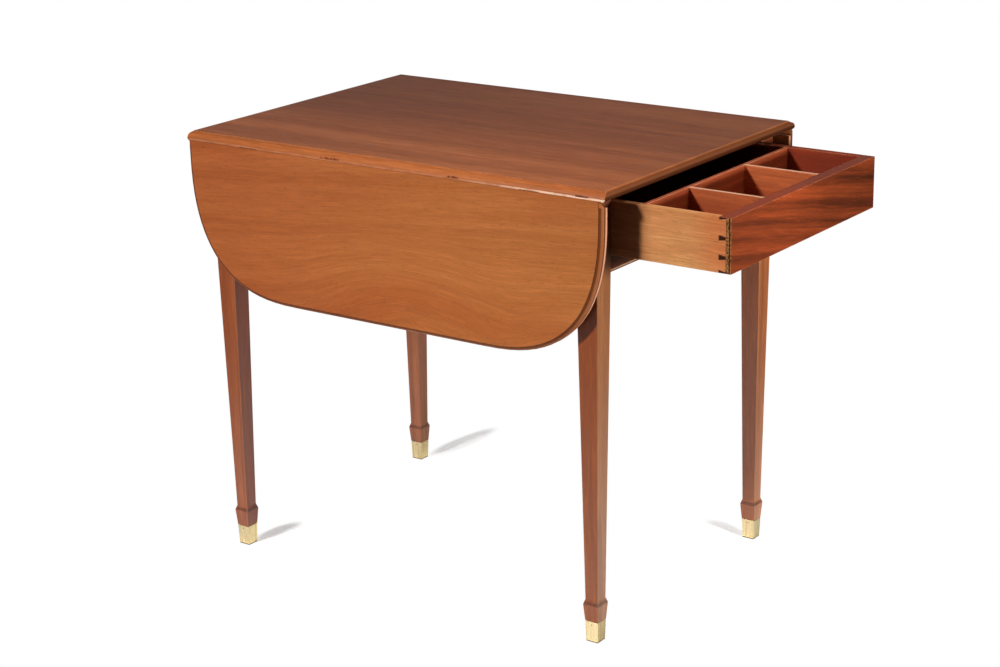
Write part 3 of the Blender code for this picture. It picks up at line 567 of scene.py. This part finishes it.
def lining(tree, coords, parts, tone):
    """Drawer sides: redder inside, and on all of the far side but its outer face, with a painted shadow
    where they leave the frame, and warmer by the front.
    """
    turn = split(tree, coords.outputs["Normal"])[1]
    facing = sums(tree, "GREATER_THAN", turn, INWARD_TURN)
    far = sums(tree, "GREATER_THAN", parts[1], 0.0)
    inward = magnitude(tree, sums(tree, "SUBTRACT", facing, far))
    tone = mixed(tree, inward, tone, linear(*LINING_TONE), "MULTIPLY")
    # Painted shadow where the side leaves the frame
    painted_shade = spread(tree, parts[0], *SIDE_SHADE, 0.0, SIDE_SHADE_SHARE)
    tone = mixed(tree, painted_shade, tone, linear(*SIDE_SHADE_TONE), "MULTIPLY")
    return shaded_along(tree, parts[0], SIDE_WARM, tone, SIDE_WARM_TONE)


def painted_light_tops(shade):
    """Painted light on the upward faces of the drawer's boards."""
    def apply(tree, coords, parts, tone):
        turn = split(tree, coords.outputs["Normal"])[2]
        # Painted light on the upward faces
        return mixed(tree, spread(tree, turn, *UPWARD_TURN, 0.0, UPPER_SHARE), tone, linear(*shade))
    return apply


def front_ends(tree, coords, parts, tone):
    """Drawer front: painted light on its upper edge, painted shade towards the far side, and ends with dark
    dovetail pins behind a mottled lap.
    """
    tone = painted_light_tops(FRONT_UPPER_TONE)(tree, coords, parts, tone)
    # Painted shade towards the far side
    tone = shaded_along(tree, parts[1], FRONT_SHADE, tone, FRONT_SHADE_TONE)
    blots = noise(tree, coords.outputs["Object"], LAP_SCALE, detail=3.0, rough=0.6)
    lap = mixed(tree, spread(tree, blots, *LAP_RANGE), linear(*LAP_DARK), linear(*LAP_LIGHT))
    lap = mixed(tree, band(tree, parts[0], *LAP_LINE, LAP_LINE_SOFT), lap, linear(*PIN_TONE))
    lap = mixed(tree, spread(tree, parts[0], PIN_FACE, PIN_FACE - PIN_SOFT), lap, linear(*PIN_TONE))
    turn = split(tree, coords.outputs["Normal"])[1]
    return mixed(tree, spread(tree, magnitude(tree, turn), *FRONT_END_TURN), tone, lap)


def leaf_edges(tree, coords, parts, tone):
    """Leaf with painted shade towards the plain end and on its inner face, darker high up, a darker moulded
    edge with painted shade in its lines, and painted light on its square edge.
    """
    # Painted shade towards the plain end
    tone = shaded_along(tree, parts[0], LEAF_END_SHADE, tone, LEAF_END_TONE)
    tone = shaded_along(tree, parts[2], LEAF_UPPER_SHADE, tone, LEAF_UPPER_TONE)
    depth = magnitude(tree, parts[1])
    turns = split(tree, coords.outputs["Normal"])
    # Painted shade on the inner face
    inner = (LEAF_INNER + LEAF_INNER_SOFT, LEAF_INNER - LEAF_INNER_SOFT)
    tone = shaded_along(tree, depth, inner, tone, LEAF_INNER_SHADE)
    edge = spread(tree, parts[2], *LEAF_JOINT)
    mould = times(tree, edge, band(tree, depth, LEAF_SQUARE, LEAF_FACE, LEAF_MOULD_SOFT))
    upright = spread(tree, magnitude(tree, turns[0]), *LEAF_MOULD_TURN)
    tone = mixed(tree, times(tree, mould, upright), tone, linear(*LEAF_MOULD_TONE))
    # Painted shade in the quirk and the groove
    quirk = times(tree, edge, band(tree, depth, *LEAF_QUIRK, LEAF_QUIRK_SOFT))
    tone = mixed(tree, times(tree, quirk, LEAF_QUIRK_SHARE), tone, linear(*LEAF_LINE_SHADE))
    groove = times(tree, edge, band(tree, depth, *LEAF_GROOVE, LEAF_GROOVE_SOFT))
    tone = mixed(tree, times(tree, groove, LEAF_GROOVE_SHARE), tone, linear(*LEAF_GROOVE_SHADE))
    # Painted light on the square edge, with painted shade in its arris lines
    behind = spread(tree, depth, LEAF_SQUARE + LEAF_SQUARE_SOFT, LEAF_SQUARE - LEAF_SQUARE_SOFT)
    square = times(tree, spread(tree, magnitude(tree, turns[1]), *LEAF_SQUARE_TURN), behind)
    lines = arris(tree, LEAF_LINE_RADIUS, *LEAF_LINE_TURN)
    lines = times(tree, lines, spread(tree, square, 0.0, 1.0, LEAF_LINE_SHARE, 0.0))
    tone = mixed(tree, lines, tone, linear(*LEAF_LINE_SHADE))
    return mixed(tree, times(tree, square, LEAF_SQUARE_LIGHT_SHARE), tone, linear(*LEAF_SQUARE_LIGHT_TONE))


def top_edges(tree, coords, parts, tone):
    """Top with painted shade towards the far side, the plain end and below its darker end mouldings, a
    darker middle band, a painted highlight along the lip, and dents in it.
    """
    # Painted shade towards the far side and the plain end
    tone = shaded_along(tree, parts[1], TOP_FAR_SHADE, tone, TOP_FAR_TONE)
    tone = shaded_along(tree, parts[0], TOP_PLAIN_END_SHADE, tone, TOP_PLAIN_END_TONE)
    middle = band(tree, parts[1], *TOP_MIDDLE, TOP_MIDDLE_SOFT)
    tone = mixed(tree, middle, tone, linear(*TOP_MIDDLE_TONE), "MULTIPLY")
    turn = split(tree, coords.outputs["Normal"])[0]
    ends = spread(tree, magnitude(tree, turn), *TOP_END_TURN)
    tone = mixed(tree, times(tree, ends, TOP_END_SHARE), tone, linear(*TOP_END_TONE))
    # Painted shade below the end mouldings
    under = spread(tree, parts[2], TOP_UNDER + TOP_UNDER_SOFT, TOP_UNDER - TOP_UNDER_SOFT)
    under = times(tree, times(tree, ends, under), TOP_UNDER_SHARE)
    tone = mixed(tree, under, tone, linear(*TOP_UNDER_SHADE))

    # Painted highlight along the lip
    lip = band(tree, parts[2], *LIP_LEVELS, LIP_SOFT)
    lip = times(tree, lip, spread(tree, magnitude(tree, parts[1]), *LIP_OUT))
    lip = times(tree, lip, spread(tree, parts[0], *LIP_ALONG))
    lip = times(tree, lip, spread(tree, noise(tree, coords.outputs["Object"], LIP_SCALE), *LIP_HIGHLIGHT_BREAKS))
    tone = mixed(tree, lip, tone, linear(*LIP_HIGHLIGHT_TONE))

    chips = spread(tree, noise(tree, coords.outputs["Object"], DENT_SCALE), *DENT_RANGE)
    chips = times(tree, chips, spread(tree, parts[1], *DENT_OUT))
    chips = times(tree, chips, band(tree, parts[2], *DENT_LEVELS, DENT_SOFT))
    for limits in DENTS:
        dent = times(tree, chips, band(tree, parts[0], *limits, DENT_ALONG_SOFT))
        tone = mixed(tree, dent, tone, linear(*DENT_TONE))
    return tone


def rail_highlight(tree, coords, parts, tone):
    """Painted highlight along the foot of the drawer rail's face."""
    # Painted highlight on the faces towards the drawer end
    facing = spread(tree, split(tree, coords.outputs["Normal"])[0], *RAIL_LINE_TURN)
    line = times(tree, band(tree, parts[2], *RAIL_LINE, RAIL_LINE_SOFT), facing)
    return mixed(tree, line, tone, linear(*RAIL_HIGHLIGHT_TONE))


# Metals
def brass(name, bright, dull, gloss, mottle=BRASS_MOTTLE, side=1.0, foot=0.0):
    """Yellow metal with fine lines, dull patches, bright arrises, painted shade on the side towards the
    drawer and a painted contact shadow along the foot.
    """
    made, tree, shader, coords = shell(name)
    place = coords.outputs["Object"]
    patch = noise(tree, place, mottle, detail=3.0, rough=0.6)
    lines = noise(tree, place, BRASS_LINES)
    tone = mixed(tree, spread(tree, patch, *BRASS_PATCH), linear(*bright), linear(*dull))
    rub = arris(tree, BRASS_RUB_RADIUS, *BRASS_RUB_TURN)
    tone = mixed(tree, times(tree, rub, BRASS_RUB_SHARE), tone, linear(*bright))
    # Painted shade on the side towards the drawer
    drawerwards = spread(tree, split(tree, coords.outputs["Normal"])[0], *BRASS_SIDE_TURN)
    tone = mixed(tree, drawerwards, tone, (side, side, BRASS_SIDE_BLUE * side, 1.0), "MULTIPLY")
    # Painted contact shadow along the foot
    if foot:
        line = spread(tree, split(tree, place)[2], foot, FOOT_LINE_FADE * foot)
        tone = mixed(tree, line, tone, linear(*SABOT_CONTACT_SHADE))
    join(tree, shader.inputs["Base Color"], tone)
    shader.inputs["Metallic"].default_value = 1.0
    dullness = spread(tree, patch, *BRASS_GLOSS_RANGE, gloss - BRASS_SHARPER, gloss + BRASS_DULLER)
    play = spread(tree, lines, *LINE_RANGE, -BRASS_LINE_PLAY, BRASS_LINE_PLAY)
    join(tree, shader.inputs["Roughness"], sums(tree, "ADD", dullness, play))
    relief = {"Strength": BRASS_RELIEF_SHARE, "Distance": BRASS_RELIEF, "Height": lines}
    join(tree, shader.inputs["Normal"], put(tree, "ShaderNodeBump", relief).outputs[0])
    return made


def steel(name):
    """Drawn steel of the hinge pins."""
    made, tree, shader, coords = shell(name)
    lines = noise(tree, coords.outputs["Object"], STEEL_LINES)
    tone = mixed(tree, spread(tree, lines, *LINE_RANGE), linear(*STEEL_DARK), linear(*STEEL_LIGHT))
    join(tree, shader.inputs["Base Color"], tone)
    shader.inputs["Metallic"].default_value = 1.0
    join(tree, shader.inputs["Roughness"], spread(tree, lines, *LINE_RANGE, *STEEL_GLOSS))
    return made


# Camera, light and floor
def make_camera():
    """Camera at the photograph's viewing angle."""
    azimuth, elevation, roll = (math.radians(a) for a in (CAMERA_AZIMUTH, CAMERA_ELEVATION, CAMERA_ROLL))
    ahead = Vector((-math.sin(azimuth) * math.cos(elevation), math.cos(azimuth) * math.cos(elevation),
                    -math.sin(elevation)))
    level = Vector((math.cos(azimuth), math.sin(azimuth), 0.0))
    above = level.cross(ahead)
    right = level * math.cos(roll) + above * math.sin(roll)
    up = above * math.cos(roll) - level * math.sin(roll)
    data = bpy.data.cameras.new("camera")
    data.lens = LENS_MM
    data.sensor_width = SENSOR_MM
    data.clip_end = CAMERA_REACH
    camera = bpy.data.objects.new("camera", data)
    turn = Matrix((right, up, -ahead)).transposed()
    camera.matrix_world = Matrix.Translation(CAMERA_PLACE) @ turn.to_4x4()
    bpy.context.scene.collection.objects.link(camera)
    bpy.context.scene.camera = camera


def make_lamp(name, place, target, width, power, tall=None):
    """Soft lamp aimed at a point: a disc, or a box where a height is given."""
    data = bpy.data.lights.new(name, "AREA")
    data.shape = "DISK" if tall is None else "RECTANGLE"
    data.size = width
    if tall is not None:
        data.size_y = tall
    data.energy = power
    lamp = bpy.data.objects.new(name, data)
    lamp.location = place
    lamp.rotation_mode = "QUATERNION"
    lamp.rotation_quaternion = (Vector(target) - Vector(place)).to_track_quat("-Z", "Y")
    bpy.context.scene.collection.objects.link(lamp)


def make_world():
    """White surround to the eye, darker overhead in gloss, and a plain low ambient light."""
    world = bpy.data.worlds.new("surround")
    bpy.context.scene.world = world
    world.use_nodes = True
    tree = world.node_tree
    tree.nodes.clear()
    path = tree.nodes.new("ShaderNodeLightPath").outputs
    upwards = split(tree, tree.nodes.new("ShaderNodeTexCoord").outputs["Generated"])[2]
    mirrored = sums(tree, "MAXIMUM", path["Is Glossy Ray"], path["Is Transmission Ray"])
    mirrored = times(tree, mirrored, spread(tree, upwards, *CEILING_RISE, 1.0, CEILING))
    strength = sums(tree, "MAXIMUM", sums(tree, "MAXIMUM", path["Is Camera Ray"], mirrored), AMBIENT)
    back = put(tree, "ShaderNodeBackground", {0: (1.0, 1.0, 1.0, 1.0), 1: strength})
    put(tree, "ShaderNodeOutputWorld", {0: back.outputs[0]})


def foot_shade_mask(tree, place):
    """Mask of the places where the floor keeps the shadows of the feet."""
    mask = 0.0
    for x, y, half_length, half_width, heading in FOOT_SHADES:
        shifted = put(tree, "ShaderNodeMapping", {
            "Vector": place, "Location": (x, y, 0.0), "Rotation": (0.0, 0.0, math.radians(heading)),
            "Scale": (half_length, half_width, 1.0)}, vector_type="TEXTURE").outputs[0]
        mask = sums(tree, "MAXIMUM", mask, spread(tree, length(tree, shifted), *SHADE_EDGE, 1.0, 0.0))
    return mask


def floor_material():
    """Paper, white to the eye but for the shadows of the feet, that bounces less light far off."""
    made = bpy.data.materials.new("pale_floor")
    made.use_nodes = True
    tree = made.node_tree
    tree.nodes.clear()
    place = tree.nodes.new("ShaderNodeTexCoord").outputs["Object"]
    mask = foot_shade_mask(tree, place)
    off = length(tree, vectors(tree, "SUBTRACT", place, PAPER_CENTRE))
    paper = spread(tree, off, *FLOOR_FADE, FLOOR_NEAR, FLOOR_FAR)
    mirror = spread(tree, off, *MIRROR_FADE, MIRROR_PAPER, 0.0)
    matt = put(tree, "ShaderNodeBsdfDiffuse", {0: paper}).outputs[0]
    sheen = put(tree, "ShaderNodeBsdfDiffuse", {0: mirror}).outputs[0]
    pale = put(tree, "ShaderNodeBsdfDiffuse", {0: (FLOOR_NEAR, FLOOR_NEAR, FLOOR_NEAR, 1.0)}).outputs[0]
    glow = put(tree, "ShaderNodeEmission", {1: SHADE_GLOW}).outputs[0]
    white = put(tree, "ShaderNodeEmission", {1: 1.0}).outputs[0]
    path = tree.nodes.new("ShaderNodeLightPath").outputs
    mirrored = sums(tree, "MAXIMUM", path["Is Glossy Ray"], path["Is Transmission Ray"])
    bounced = put(tree, "ShaderNodeMixShader", {0: mirrored, 1: matt, 2: sheen}).outputs[0]
    shaded = put(tree, "ShaderNodeAddShader", {0: pale, 1: glow}).outputs[0]
    shown = put(tree, "ShaderNodeMixShader", {0: mask, 1: white, 2: shaded}).outputs[0]
    both = put(tree, "ShaderNodeMixShader", {0: path["Is Camera Ray"], 1: bounced, 2: shown})
    put(tree, "ShaderNodeOutputMaterial", {0: both.outputs[0]})
    return made


def make_floor():
    """Pale floor that reads white, and keeps the shadows by the feet."""
    mesh = bpy.data.meshes.new("floor")
    half = FLOOR_HALF
    corners = [(-half, -half, 0), (half, -half, 0), (half, half, 0), (-half, half, 0)]
    mesh.from_pydata(corners, [], [(0, 1, 2, 3)])
    floor = bpy.data.objects.new("floor", mesh)
    bpy.context.scene.collection.objects.link(floor)
    mesh.materials.append(floor_material())


# Screws and pins
def finish_piece(name, heads, material, body):
    """Turns built heads into a brass piece that moves with a body."""
    bmesh.ops.recalc_face_normals(heads, faces=heads.faces)
    mesh = bpy.data.meshes.new(name)
    heads.to_mesh(mesh)
    heads.free()
    mesh.materials.append(material)
    mesh.polygons.foreach_set("use_smooth", [True] * len(mesh.polygons))
    mesh.set_sharp_from_angle(angle=math.radians(HEAD_CREASE))
    piece = bpy.data.objects.new(name, mesh)
    bpy.context.scene.collection.objects.link(piece)
    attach(piece, body)


def head_axes(centre, facing, turn):
    """Centre of a head, the way it faces, and two ways across it, turned by an angle in degrees."""
    facing = Vector(facing).normalized()
    start = facing.orthogonal().normalized()
    other = facing.cross(start)
    angle = math.radians(turn)
    aside = start * math.cos(angle) + other * math.sin(angle)
    return Vector(centre), facing, aside, facing.cross(aside)


def ring_points(heads, axes, reach, height, angles):
    """Points round a head at one height above its face."""
    centre, facing, aside, across = axes
    level = centre + facing * height
    return [heads.verts.new(level + aside * (reach * math.cos(a)) + across * (reach * math.sin(a)))
            for a in angles]


def wrap(heads, low, high, closed):
    """Faces between two rows of points, which also join end to start where they close."""
    count = len(low)
    for step in range(count if closed else count - 1):
        after = (step + 1) % count
        heads.faces.new((low[step], low[after], high[after], high[step]))


def slot_arcs(share):
    """Angles round the two halves of a slotted head, at a share of its radius."""
    gap = math.asin(SLOT_HALF / (SCREW_RADIUS * share))
    arc = [gap + (math.pi - 2 * gap) * step / HEAD_STEPS for step in range(HEAD_STEPS + 1)]
    return arc, [math.pi + angle for angle in arc]


def slotted_head(heads, centre, facing, turn):
    """Low domed screw head with a slot across it, closed all round."""
    axes = head_axes(centre, facing, turn)
    first, second = slot_arcs(1.0)
    base = ring_points(heads, axes, SCREW_RADIUS, -HEAD_SUNK, first + second)
    rim = ring_points(heads, axes, SCREW_RADIUS, SLOT_FLOOR, first + second)
    heads.faces.new(list(reversed(base)))
    wrap(heads, base, rim, True)
    heads.faces.new((rim[0], rim[HEAD_STEPS], rim[HEAD_STEPS + 1], rim[-1]))
    for number in range(2):
        low = rim[number * (HEAD_STEPS + 1):(number + 1) * (HEAD_STEPS + 1)]
        rows = [low]
        for share, height in SCREW_RINGS:
            high = ring_points(heads, axes, SCREW_RADIUS * share, height, slot_arcs(share)[number])
            wrap(heads, low, high, False)
            rows.append(high)
            low = high
        heads.faces.new(low)
        heads.faces.new([row[0] for row in rows] + [row[-1] for row in reversed(rows)])


def domed_head(heads, centre, facing, radius):
    """Round pin head, closed all round."""
    axes = head_axes(centre, facing, 0.0)
    angles = [math.pi * step / HEAD_STEPS for step in range(2 * HEAD_STEPS)]
    low = ring_points(heads, axes, radius, -HEAD_SUNK, angles)
    heads.faces.new(list(reversed(low)))
    for share, height in PIN_RINGS:
        high = ring_points(heads, axes, radius * share, height, angles)
        wrap(heads, low, high, True)
        low = high
    heads.faces.new(low)


def screw_plans(leaf, side, end):
    """Screws of one hinge and one stay: their name, body, the way they face, and their places."""
    hinge = TABLE_CENTRE + end * HINGE_REACH
    stay = TABLE_CENTRE + end * STAY_REACH
    return (
        ("_hinge_table_plate_screws_", "table_frame", (0, 0, -1),
         [(hinge + shift, side * TABLE_SCREW_ASIDE, TABLE_SCREW_LEVEL)
          for shift in (-PLATE_SCREW_SHIFT, PLATE_SCREW_SHIFT)]),
        ("_hinge_leaf_plate_screws_", leaf, (0, -side, 0),
         [(hinge + shift, side * LEAF_SCREW_FACE, level) for shift, level in LEAF_SCREWS]),
        ("_stay_frame_bracket_screws_", "table_frame", (0, side, 0),
         [(stay - FOOT_SCREW_SHIFT, side * FRAME_FOOT_FACE, level) for level in FOOT_SCREW_LEVELS]),
        ("_stay_leaf_bracket_screws_", leaf, (0, -side, 0),
         [(stay + FOOT_SCREW_SHIFT, side * LEAF_FOOT_FACE, level) for level in FOOT_SCREW_LEVELS]),
    )


def make_screws(material):
    """Slotted screws of the hinge plates and of the feet of the stays."""
    for label, side in SIDES:
        for end_label, end in ENDS:
            for kind, body, facing, places in screw_plans(label + "_leaf", side, end):
                heads = bmesh.new()
                for number, place in enumerate(places):
                    slotted_head(heads, place, facing, SLOT_TURNS[(number + len(kind)) % len(SLOT_TURNS)])
                finish_piece(label + kind + end_label, heads, material, body)


def make_sabot_pins(material):
    """Pins through the two faces of each sabot that look to the near and far side."""
    for label, side in SIDES:
        for end_label, end in ENDS:
            heads = bmesh.new()
            along = TABLE_CENTRE + end * LEG_REACH
            for way in (-1, 1):
                place = (along, side * LEG_ASIDE + way * SABOT_PIN_OUT, SABOT_PIN_UP)
                domed_head(heads, place, (0, way, SABOT_LEAN), SABOT_PIN_RADIUS)
            finish_piece(label + "_sabot_pins_" + end_label, heads, material, "table_frame")


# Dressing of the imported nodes
def clean_group(crease):
    """Modifier tree that joins the split corners and smooths all but the edges sharper than the crease."""
    group = bpy.data.node_groups.new("clean_edges", "GeometryNodeTree")
    group.interface.new_socket("Geometry", in_out="INPUT", socket_type="NodeSocketGeometry")
    group.interface.new_socket("Geometry", in_out="OUTPUT", socket_type="NodeSocketGeometry")
    begin = put(group, "NodeGroupInput").outputs[0]
    plain = put(group, "GeometryNodeRemoveAttribute",
                {"Geometry": begin, "Name": "custom_normal"}).outputs[0]
    merged = put(group, "GeometryNodeMergeByDistance",
                 {"Geometry": plain, "Distance": JOIN_REACH}).outputs[0]
    smooth = put(group, "GeometryNodeSetShadeSmooth", {"Geometry": merged}, domain="FACE").outputs[0]
    angle = group.nodes.new("GeometryNodeInputMeshEdgeAngle").outputs[0]
    sharp = put(group, "FunctionNodeCompare", {0: angle, 1: crease}, operation="GREATER_THAN").outputs[0]
    kept = put(group, "GeometryNodeSetShadeSmooth",
               {"Geometry": smooth, "Selection": sharp, "Shade Smooth": False}, domain="EDGE").outputs[0]
    put(group, "NodeGroupOutput", {0: kept})
    return group


def dress(material, width, names, crease=CREASE):
    """Gives nodes their material, joined corners and softened arrises."""
    group = clean_group(math.radians(crease))
    for name in names:
        node = NODES[name]
        node.data.materials.clear()
        node.data.materials.append(material)
        clean = node.modifiers.new("clean", "NODES")
        clean.node_group = group
        soft = node.modifiers.new("soft_arris", "BEVEL")
        soft.width = width
        soft.segments = ARRIS_STEPS
        soft.limit_method = "ANGLE"
        soft.angle_limit = math.radians(crease)
        soft.use_clamp_overlap = True
        weigh = node.modifiers.new("flat_faces", "WEIGHTED_NORMAL")
        weigh.keep_sharp = False
        weigh.weight = FLAT_FACE_WEIGHT


def named(word):
    """Nodes whose name holds a word."""
    return [name for name in NODES if word in name]


def dress_boards():
    """Top and leaves."""
    top = wood("top_wood", "X", dark=(162, 87, 45), light=(196, 113, 62), heart=(0.9, -0.5),
               rings=34.0, stripe=(126, 64, 34), streak=0.22, red=(176, 92, 50), fleck=0.30,
               worn=(206, 140, 94), end_dark=0.25, gloss=0.34, specular=0.10, extra=top_edges)
    leaf = wood("leaf_wood", "X", dark=(198, 116, 59), light=(222, 138, 75), heart=(-0.9, -0.6),
                slope=(0.0, -0.09), rings=38.0, ring_range=(0.2, 0.8),
                swirls=((-0.06, 0.50, 0.24, 0.15, 0.05), (0.26, 0.46, 0.14, 0.12, 0.03)),
                stripe=(160, 84, 42), streak=0.18, red=(190, 100, 50), fleck=0.16,
                end_dark=0.30, gloss=0.38, specular=0.18, extra=leaf_edges)
    dress(top, TOP_ARRIS, ["center_top"])
    dress(leaf, TOP_ARRIS, ["near_leaf", "far_leaf"])


def dress_frame():
    """Legs, aprons, rails, runners, kickers and stops."""
    # Each leg with painted light and shade of its own on its faces
    for leg, front_light, side_light in LEG_FACE_LIGHT:
        board = wood(leg + "_wood", "Z", dark=(158, 82, 40), light=(194, 112, 60), heart=(0.6, 0.4),
                     rings=44.0, stripe=(104, 50, 26), streak=0.45, red=(170, 88, 48),
                     worn=(216, 150, 106), specular=0.75, extra=face_light_and_shade(front_light, side_light))
        dress(board, FRAME_ARRIS, [leg], LEG_CREASE)
    along = wood("side_apron_wood", "X", APRON_DARK, APRON_LIGHT, heart=(0.5, 0.2), rings=34.0,
                 stripe=APRON_STRIPE, worn=(190, 122, 80))
    over = wood("end_apron_wood", "Y", APRON_DARK, APRON_LIGHT, heart=(-0.9, 0.2), rings=34.0,
                stripe=APRON_STRIPE, worn=(200, 132, 90))
    # Dark tone that stands in for the shade under the drawer on the drawer rail and the top rail
    rail = wood("painted_shade_rail_wood", "Y", dark=(74, 38, 20), light=(112, 62, 34), heart=(-0.9, 0.2), rings=34.0,
                stripe=(60, 30, 16), worn=(236, 190, 150), worn_share=0.9, extra=rail_highlight)
    inner = wood("runner_wood", "X", RUNNER_DARK, RUNNER_LIGHT, heart=(0.4, 0.3), rings=50.0,
                 stripe=(128, 80, 44), gloss=0.6, specular=0.1)
    stop = wood("stop_wood", "Y", RUNNER_DARK, RUNNER_LIGHT, heart=(0.4, 0.3), rings=50.0, gloss=0.6)
    dress(along, FRAME_ARRIS, ["near_side_apron", "far_side_apron"])
    dress(over, FRAME_ARRIS, ["end_apron"])
    dress(rail, FRAME_ARRIS, ["drawer_rail", "top_rail"])
    dress(inner, RUNNER_ARRIS, named("_runner") + named("_kicker"))
    dress(stop, STOP_ARRIS, named("_stop"))


def dress_drawer():
    """Drawer front, sides, back, bottom and dividers."""
    front = wood("drawer_front_wood", "Y", dark=(68, 30, 16), light=(154, 67, 32), heart=(0.42, -0.4),
                 slope=(0.0, 0.2), rings=40.0, ring_range=(0.36, 0.66), stripe=(90, 37, 19), streak=0.18,
                 red=(116, 50, 26), fleck=0.18, worn=(196, 124, 84), end_dark=0.0, specular=0.05,
                 extra=front_ends)
    side = wood("drawer_side_wood", "X", dark=(224, 146, 86), light=(248, 182, 116), heart=(-0.5, 0.5),
                rings=46.0, stripe=(166, 100, 52), worn=(232, 180, 128), gloss=0.5, extra=lining)
    inside = wood("drawer_inside_wood", "Y", dark=(142, 56, 29), light=(182, 86, 45), heart=(0.6, 0.9),
                  rings=40.0, stripe=(104, 40, 21), worn=DRAWER_RUBBED, worn_share=0.8, gloss=0.5)
    short = wood("drawer_divider_wood", "X", dark=(168, 76, 38), light=(214, 112, 60), heart=(0.6, 0.9),
                 rings=40.0, stripe=(140, 58, 30), worn=DRAWER_RUBBED, worn_share=0.8, gloss=0.5,
                 extra=painted_light_tops(DIVIDER_UPPER_TONE))
    dress(front, FRONT_ARRIS, ["drawer_front"])
    dress(side, DRAWER_ARRIS, ["near_drawer_side", "far_drawer_side"])
    dress(inside, DRAWER_ARRIS, ["drawer_back", "drawer_bottom", "drawer_cross_divider"])
    dress(short, DRAWER_ARRIS, ["near_drawer_divider", "far_drawer_divider"])


def dress_metal():
    """Sabots, hinges and stays, with their screws and pins."""
    # Sabots: a plain copy, and a copy with painted shade on the faces towards the drawer
    for name, end_label, side in SABOT_LOOKS:
        cup = brass(name, SABOT_BRIGHT, SABOT_DULL, SABOT_GLOSS, SABOT_STREAKS, side, SABOT_FOOT)
        dress(cup, SABOT_ARRIS, named("_sabot_" + end_label))
    sheet = brass("fitting_brass", FITTING_BRIGHT, FITTING_DULL, FITTING_GLOSS)
    dress(sheet, FITTING_ARRIS, named("_plate_") + named("_stay_"))
    dress(steel("pin_steel"), ROD_ARRIS, named("_hinge_pin_"))
    make_screws(sheet)
    make_sabot_pins(brass("sabot_pin_brass", SABOT_PIN_BRIGHT, SABOT_PIN_DULL, SABOT_PIN_GLOSS))


make_camera()
make_world()
make_lamp("key_lamp", *KEY_LAMP)
make_lamp("fill_lamp", *FILL_LAMP)
make_lamp("overhead_lamp", *OVERHEAD_LAMP)
make_lamp("back_lamp", *BACK_LAMP)
make_floor()
dress_boards()
dress_frame()
dress_drawer()
dress_metal()
bpy.context.scene.view_settings.view_transform = "Standard"
